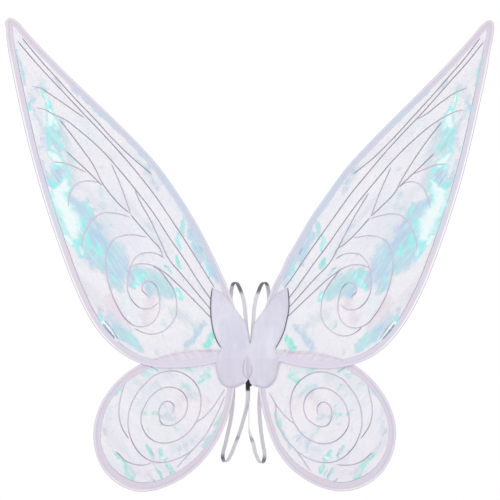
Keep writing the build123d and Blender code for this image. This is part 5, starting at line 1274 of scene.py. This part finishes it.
# ---- fabric covers -------------------------------------------------------------------------
def edge_level(z, back):
    """Depth of the layers that the cover's edge is stitched down to."""
    if back:
        return -6.05 + smooth((12 - z) / 9) * 3.55
    return -6.75 + smooth((-23 - z) / 13) * 3.7


PLEAT_LINES = [rounded(q, 1.0)[0] for q in (
    [(-7.0, -6.0), (-9.6, -18.0), (-12.4, -28.8), (-12.9, -37.8), (-9.9, -46.4), (-4.8, -51.2)],
    [(-4.7, -5.4), (-5.4, -19.8), (-6.2, -34.2), (-5.2, -45.0)],
    [(-1.3, -9.0), (-1.6, -25.2), (-2.4, -39.6), (-2.9, -48.0)],
    [(0.3, -21.0), (2.8, -32.0), (2.4, -41.4), (-1.2, -50.0)])]
PLEAT_HOLD = (0.9, 0.8, 0.6, 1.0)


def pleated(flat):
    """Depth and shade of the gathers below the notch."""
    deep, dark = np.zeros(len(flat)), np.zeros(len(flat))
    for k, line in enumerate(PLEAT_LINES):
        d = far(flat, line)
        run = np.clip((line[0, 1] - flat[:, 1]) / (line[0, 1] - line[-1, 1]), 0, 1)
        force = PLEAT_HOLD[k] * smooth(run / 0.35) * smooth((flat[:, 1] + 62) / 6)
        side_x = flat[:, 0] - np.interp(-flat[:, 1], -line[:, 1], line[:, 0])
        deep += (0.50 * np.exp(-(d / 0.8) ** 2) + 0.24 * np.exp(-(d / 2.2) ** 2)) * force
        lean = 0.5 + 0.5 * np.tanh(side_x * (1.2 if k < 2 else -1.2))
        dark += (0.42 * np.exp(-(d / 0.9) ** 2) + 0.42 * np.exp(-(d / 2.2) ** 2) * lean) * force
    return np.minimum(deep, 0.9), np.clip(dark, 0, 0.75)


def front_crown(x):
    return Y_FRONT + 0.25 - 0.18 * smooth((np.abs(x) - 8) / 30)


def cover_faces(flat, hand, outer, lobe, inner, back):
    x, z = flat[:, 0], flat[:, 1]
    d = np.minimum(far(flat, outer), far(flat, lobe))
    d_in = far(flat, inner)
    if back:        # above the pad the two leaves meet beside the notch as well
        d_in = np.minimum(d_in, far(flat, [(hand * CENTRE_X, 19.0), (hand * CENTRE_X, 52.0)]))
    rise = smooth(d / 6.5) ** 0.8
    soft = (value_noise(x * 1.7, z * 0.5, 16, 21) - 0.5) * 0.55 + (value_noise(x, z, 6, 22) - 0.5) * 0.16
    soft = soft * smooth((np.abs(x) - 10) / 7)
    pucker = (value_noise(x + z, z - x, 4.2, 23) - 0.5) * 0.35 * np.exp(-((d - 2.4) / 2.2) ** 2)
    top = smooth(d_in / 5.0) ** 0.8
    e = edge_level(z, back)
    if back:
        crown = Y_BACK - 0.25 + soft * 0.4
        level = e + (crown - e) * rise
        join = -7.3 * smooth((z - 14) / 8) + level * (1 - smooth((z - 14) / 8))
        level = join + (level - join) * top
        return level - 0.75 - 0.0 * x, level + pucker * 0.5
    crown = front_crown(x) + soft * 0.35 + pleated(flat)[0]
    level = e + (crown - e) * rise
    lip = crown + 0.35
    level = lip + (level - lip) * top
    return level + pucker, level + 0.75


for side, hand in (("left", -1), ("right", 1)):
    outer = rounded(handed(COVER_OUTER[hand], hand), 1.2)[0]
    lobe = rounded(handed(COVER_LOBE[hand], hand), 1.2)[0]
    inner_knots = handed(COVER_INNER, hand)
    inner = rounded(inner_knots, 1.2)[0]
    x_in = hand * CENTRE_X
    low, high = lobe[-1], inner[0]
    # the covers run on to the seams of the centre strip
    foot = [(hand * 11.0, low[1] + (0.5 if hand < 0 else 0.3)), (x_in, -61.0 if hand < 0 else -66.2)]
    head = [(x_in, 51.9), (hand * 11.0, 53.4)]
    seam_line = respaced([foot[-1], head[0]], 1.2)[1:-1]
    outline = np.vstack([outer[:-1], lobe, foot, seam_line, head, inner[:-1]])
    grid = hexgrid(outline, 1.5)
    grid = grid[inside(grid, outline)]
    grid = grid[far(grid, outline, True) > 0.7]
    flat, tris, area = triangulated([outline], grid, lambda c, o=outline: inside(c, o))
    d_edge = np.minimum(np.minimum(far(flat, outer), far(flat, lobe)), far(flat, inner))
    stitch = np.exp(-((d_edge - 2.6) / 0.45) ** 2) * (0.5 + 0.5 * np.sign(np.sin(flat @ np.array([1.9, 2.1]))))
    # painted shade along the cover's edges, where the cloth rolls over
    fold_shade = 0.26 * np.exp(-d_edge / 0.9)
    gather = pleated(flat)[1]
    # painted shade in the gathers, and a faint painted shadow line where the wires and their tape lie inside the cloth,
    # darker below it
    gather = gather + 0.07 * smooth((-15.5 - flat[:, 1]) / 1.5) + 0.05 * np.exp(-((flat[:, 1] + 15.5) / 1.2) ** 2)
    for which in ("front", "back"):
        lo_y, hi_y = cover_faces(flat, hand, outer, lobe, inner, which == "back")
        cover = shell(f"{side}_cover_{which}", flat, tris, lo_y, hi_y, COVER,
                      {"seam": stitch * 0.8, "fold_shade": fold_shade + (gather if which == "front" else 0)}, 42)
        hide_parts(f"{side}_{which}_cover")
        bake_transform(cover)

    # overlocked edge down the leaf; its dark grey also stands in for the shade along the leaf's raised edge
    path, ways = sampled(beside(chain(handed(COVER_OUTER[hand], hand)), -hand * 0.75), 0.8)
    path, ways = path[1:-1], ways[1:-1]
    lie = cover_faces(path, hand, outer, lobe, inner, False)[0]
    norm = np.stack([-ways[:, 1], np.zeros(len(ways)), ways[:, 0]], 1)
    s_run = np.concatenate([[0], np.cumsum(np.linalg.norm(np.diff(path, axis=0), axis=1))])
    taper = 0.35 + 0.65 * smooth(np.minimum(s_run, s_run[-1] - s_run) / 6)
    angles = np.linspace(0, 2 * math.pi, 14, endpoint=False)
    ring = np.array([[(1.15 * t * math.cos(a), 0.52 * t * math.sin(a) * (1 + 0.12 * math.sin(s * 2.4))) for a in angles]
                     for t, s in zip(taper, s_run)])
    centre = np.stack([path[:, 0], lie + 0.02, path[:, 1]], 1)
    runs = np.stack([np.repeat(s_run, len(angles)), (ring[..., 0]).ravel(), ring[..., 1].ravel()], 1)
    edge = swept(f"{side}_edge", centre, norm, np.tile([0.0, 1.0, 0.0], (len(path), 1)), ring, EDGING, {"run": runs})
    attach(edge, f"{side}_half")
    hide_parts(f"{side}_cover_edging")

# ---- centre strip ---------------------------------------------------------------------------
NOTCH = [(-10, 51.8), (-6.4, 45.0), (-3.6, 31.5), (-1.6, 18.0), (0.2, 10.5), (2.4, 18.0), (3.9, 31.5), (6.2, 45.0), (10, 51.8)]
TUCK = [(10, -66.2), (4.8, -63.8), (0.9, -60.4), (-0.9, -56.0), (-2.7, -51.6), (-4.6, -54.0), (-7.4, -58.4), (-10, -61.0)]
outline = np.vstack([respaced(q, 1.0)[:-1] for q in (NOTCH, [NOTCH[-1], TUCK[0]], TUCK, [TUCK[-1], NOTCH[0]])])
grid = hexgrid(outline, 0.75)
grid = grid[inside(grid, outline)]
grid = grid[far(grid, outline, True) > 0.35]
flat, tris, area = triangulated([outline], grid, lambda c: inside(c, outline))
x, z = flat[:, 0], flat[:, 1]
deep, pleat_shade = pleated(flat)
lip = np.exp(-far(flat, NOTCH) / 1.2) + np.exp(-far(flat, TUCK) / 1.0)
front = front_crown(x) + deep + 0.35 * lip
back = -7.75 + smooth((17 - z) / 7) * 2.2
# painted shade in the gathers and along the rolled edges of the notch and the tuck
gather = shell("center_pleats", flat, tris, front, np.maximum(back, front + 0.6), PLEATS,
               {"fold_shade": np.clip(pleat_shade + 0.2 * lip, 0, 0.8), "seam": 0 * x}, 42)
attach(gather, "root")
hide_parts("center_gather")

# back pad, quilted once round, a little inside its edge
corner = 3.0
pad = []
for cx, cz, a0 in ((CENTRE_X - corner, PAD_TOP - corner, 0), (-CENTRE_X + corner, PAD_TOP - corner, 90),
                   (-CENTRE_X + corner, PAD_BOTTOM + corner, 180), (CENTRE_X - corner, PAD_BOTTOM + corner, 270)):
    for a in np.linspace(a0, a0 + 90, 6):
        pad.append((cx + corner * math.cos(math.radians(a)), cz + corner * math.sin(math.radians(a))))
pad = respaced(np.array(pad) * (0.999, 1.0), 1.0, closed=True)
grid = hexgrid(pad, 0.85)
grid = grid[inside(grid, pad)]
grid = grid[far(grid, pad, True) > 0.4]
flat, tris, area = triangulated([pad], grid, lambda c: inside(c, pad))
x, z = flat[:, 0], flat[:, 1]
d = far(flat, pad, True)
puff = np.sqrt(np.clip(1 - (1 - np.clip(d / 4.5, 0, 1)) ** 2, 0, 1))
quilt = np.exp(-((d - 2.2) / 0.5) ** 2)
wobble = (value_noise(x, z, 7, 41) - 0.5) * 0.3
pad_back = -1.15 + 1.15 * puff - 0.45 * quilt + wobble * puff * 0.5
pad_back = np.minimum(pad_back, 0.0)
pad_front = -1.9 - 1.05 * puff
stitches = quilt * (0.5 + 0.5 * np.sign(np.sin((np.arctan2(z + 18, x) * 0 + x + z) * 2.2)))
# painted shade in the quilted groove
cushion = shell("center_pad", flat, tris, pad_front, pad_back, PADDING,
                {"seam": stitches, "fold_shade": quilt * 0.3}, 50)
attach(cushion, "root")
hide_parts("center_back_pad")

# ---- elastic arm loops -------------------------------------------------------------------------
for side, hand, loop in (("left", -1, LEFT_LOOP), ("right", 1, RIGHT_LOOP)):
    yaw = math.radians(STRAP_YAW)
    out = np.array([hand * math.sin(yaw), math.cos(yaw), 0.0])
    wide = np.array([math.cos(yaw), -hand * math.sin(yaw), 0.0])
    line, ways = sampled(chain(loop, (0, 1), (0, 1)), 1.2)
    s_run = np.concatenate([[0], np.cumsum(np.linalg.norm(np.diff(line, axis=0), axis=1))])
    total = s_run[-1]
    turn = np.where(s_run < total / 2, 1 - smooth(s_run / 16), 1 - smooth((total - s_run) / 16))
    centre = np.array([hand * STRAP_X, STRAP_Y, 0.0]) + line[:, :1] * out + np.array([0, 0, 1.0]) * line[:, 1:]
    way = ways[:, :1] * out + np.array([0, 0, 1.0]) * ways[:, 1:]
    # the lower near runs turn edge on below the centre, the right one behind the left one
    below = (s_run > s_run[int(np.argmin(line[:, 1]))]) & (line[:, 0] < 26)
    if hand > 0:
        twist = smooth((-57 - line[:, 1]) / 10) * smooth((line[:, 1] + 166) / 30) * below
        drift = smooth((-57 - line[:, 1]) / 12) * smooth((line[:, 1] + 174) / 34) * below
        centre[:, 0] -= 6.4 * drift
        centre[:, 1] += 0.9 * drift
        spin = 1.03 * twist
    else:
        spin = 0.62 * np.exp(-((line[:, 1] + 80) / 13) ** 2) * below
        centre[:, 0] += 1.0 * np.exp(-((line[:, 1] + 84) / 20) ** 2) * below
        twist = spin * 0
    wide = wide[None] * np.cos(spin)[:, None] - out[None] * np.sin(spin)[:, None]
    flat_wide = wide + turn[:, None] * (np.array([1.0, 0, 0]) - wide)
    flat_wide /= np.linalg.norm(flat_wide, axis=1)[:, None]
    up = np.cross(way, flat_wide)
    up /= np.linalg.norm(up, axis=1)[:, None]
    w, t = STRAP_W / 2, STRAP_T / 2
    profile = [(-w + 0.15, -t * 0.55), (-w + 0.5, -t * 0.92)] + [(a, -t) for a in np.linspace(-w + 1.1, w - 1.1, 7)]
    profile += [(w - 0.5, -t * 0.92), (w - 0.15, -t * 0.55), (w, 0)]
    profile += [(w - 0.15, t * 0.55), (w - 0.5, t * 0.92)] + [(a, t) for a in np.linspace(w - 1.1, -w + 1.1, 7)]
    profile += [(-w + 0.5, t * 0.92), (-w + 0.15, t * 0.55), (-w, 0)]
    profile = np.array(profile)
    # the elastic pinches a little at its tight turns and waves at its edges
    k = len(profile)
    wave = 1 + 0.012 * np.sin(s_run / 2.3) + 0.02 * (value_noise(s_run, s_run * 0, 30, 51 + hand) - 0.5)
    rings = profile[None] * np.stack([wave, np.ones(len(wave))], 1)[:, None]
    u, z = line[:, 0], line[:, 1]
    half_way = s_run < total * 0.5
    lowest, highest = s_run[int(np.argmin(z))], s_run[int(np.argmax(z))]
    up_near, down_far, up_low = s_run < highest, (s_run >= highest) & (s_run < lowest), s_run >= lowest
    # painted shade along each loop: dark over the top bends, dark spots at the lower turns, nearly black where the near
    # runs come out under the centre
    painted_shade = 0.85 * smooth((z - 95) / 13) * up_near + (0.25 * smooth((z - 98) / 12) + 0.5 * smooth((z - 113) / 5)) * down_far
    painted_shade = painted_shade + 0.22 * np.exp(-((z - 38) / 14) ** 2) * up_near
    painted_shade = painted_shade + (1.9 * smooth((z + 76) / 8) + 0.12) * up_low * smooth((z + 100) / 24) * (1 - 0.9 * twist * (z < -74))
    painted_shade = painted_shade + 0.5 * np.exp(-((z + 161) / 6) ** 2) * up_low
    painted_shade = painted_shade + 0.75 * np.exp(-((z + 203) / 8) ** 2) * (s_run < lowest + 3) * (z < -150)
    painted_shade = np.clip(painted_shade, 0, 2)
    far_run = int(np.flatnonzero((z < -18) & (u > 20))[0])
    for name, a, b in (("upper", 0, far_run + 1), ("lower", far_run, len(line))):
        data = {"run": np.stack([np.repeat(s_run[a:b], k), np.tile(profile[:, 0], b - a), np.tile(profile[:, 1], b - a)], 1),
                "painted_shade": np.repeat(painted_shade[a:b], k)}
        strap = swept(f"{side}_strap_{name}", centre[a:b], flat_wide[a:b], up[a:b], rings[a:b], ELASTIC, data, 50)
        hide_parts(f"{side}_strap")
        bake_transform(strap)

# ---- floor ------------------------------------------------------------------------------------------
s = Shader("floor")
s.colour(s.mix(s.between(s.noise(3, 3), 0.3, 0.7), lin(243, 243, 245), lin(238, 238, 241)))
s.rough(s.between(s.noise(14, 3), 0.3, 0.7, 0.55, 0.7))
me = bpy.data.meshes.new("floor")
me.from_pydata([(-1.5, -1.5, -0.285), (1.5, -1.5, -0.285), (1.5, 0.1, -0.285), (-1.5, 0.1, -0.285)], [], [(0, 1, 2, 3)])
me.materials.append(s.m)
floor = bpy.data.objects.new("floor", me)
scene.collection.objects.link(floor)
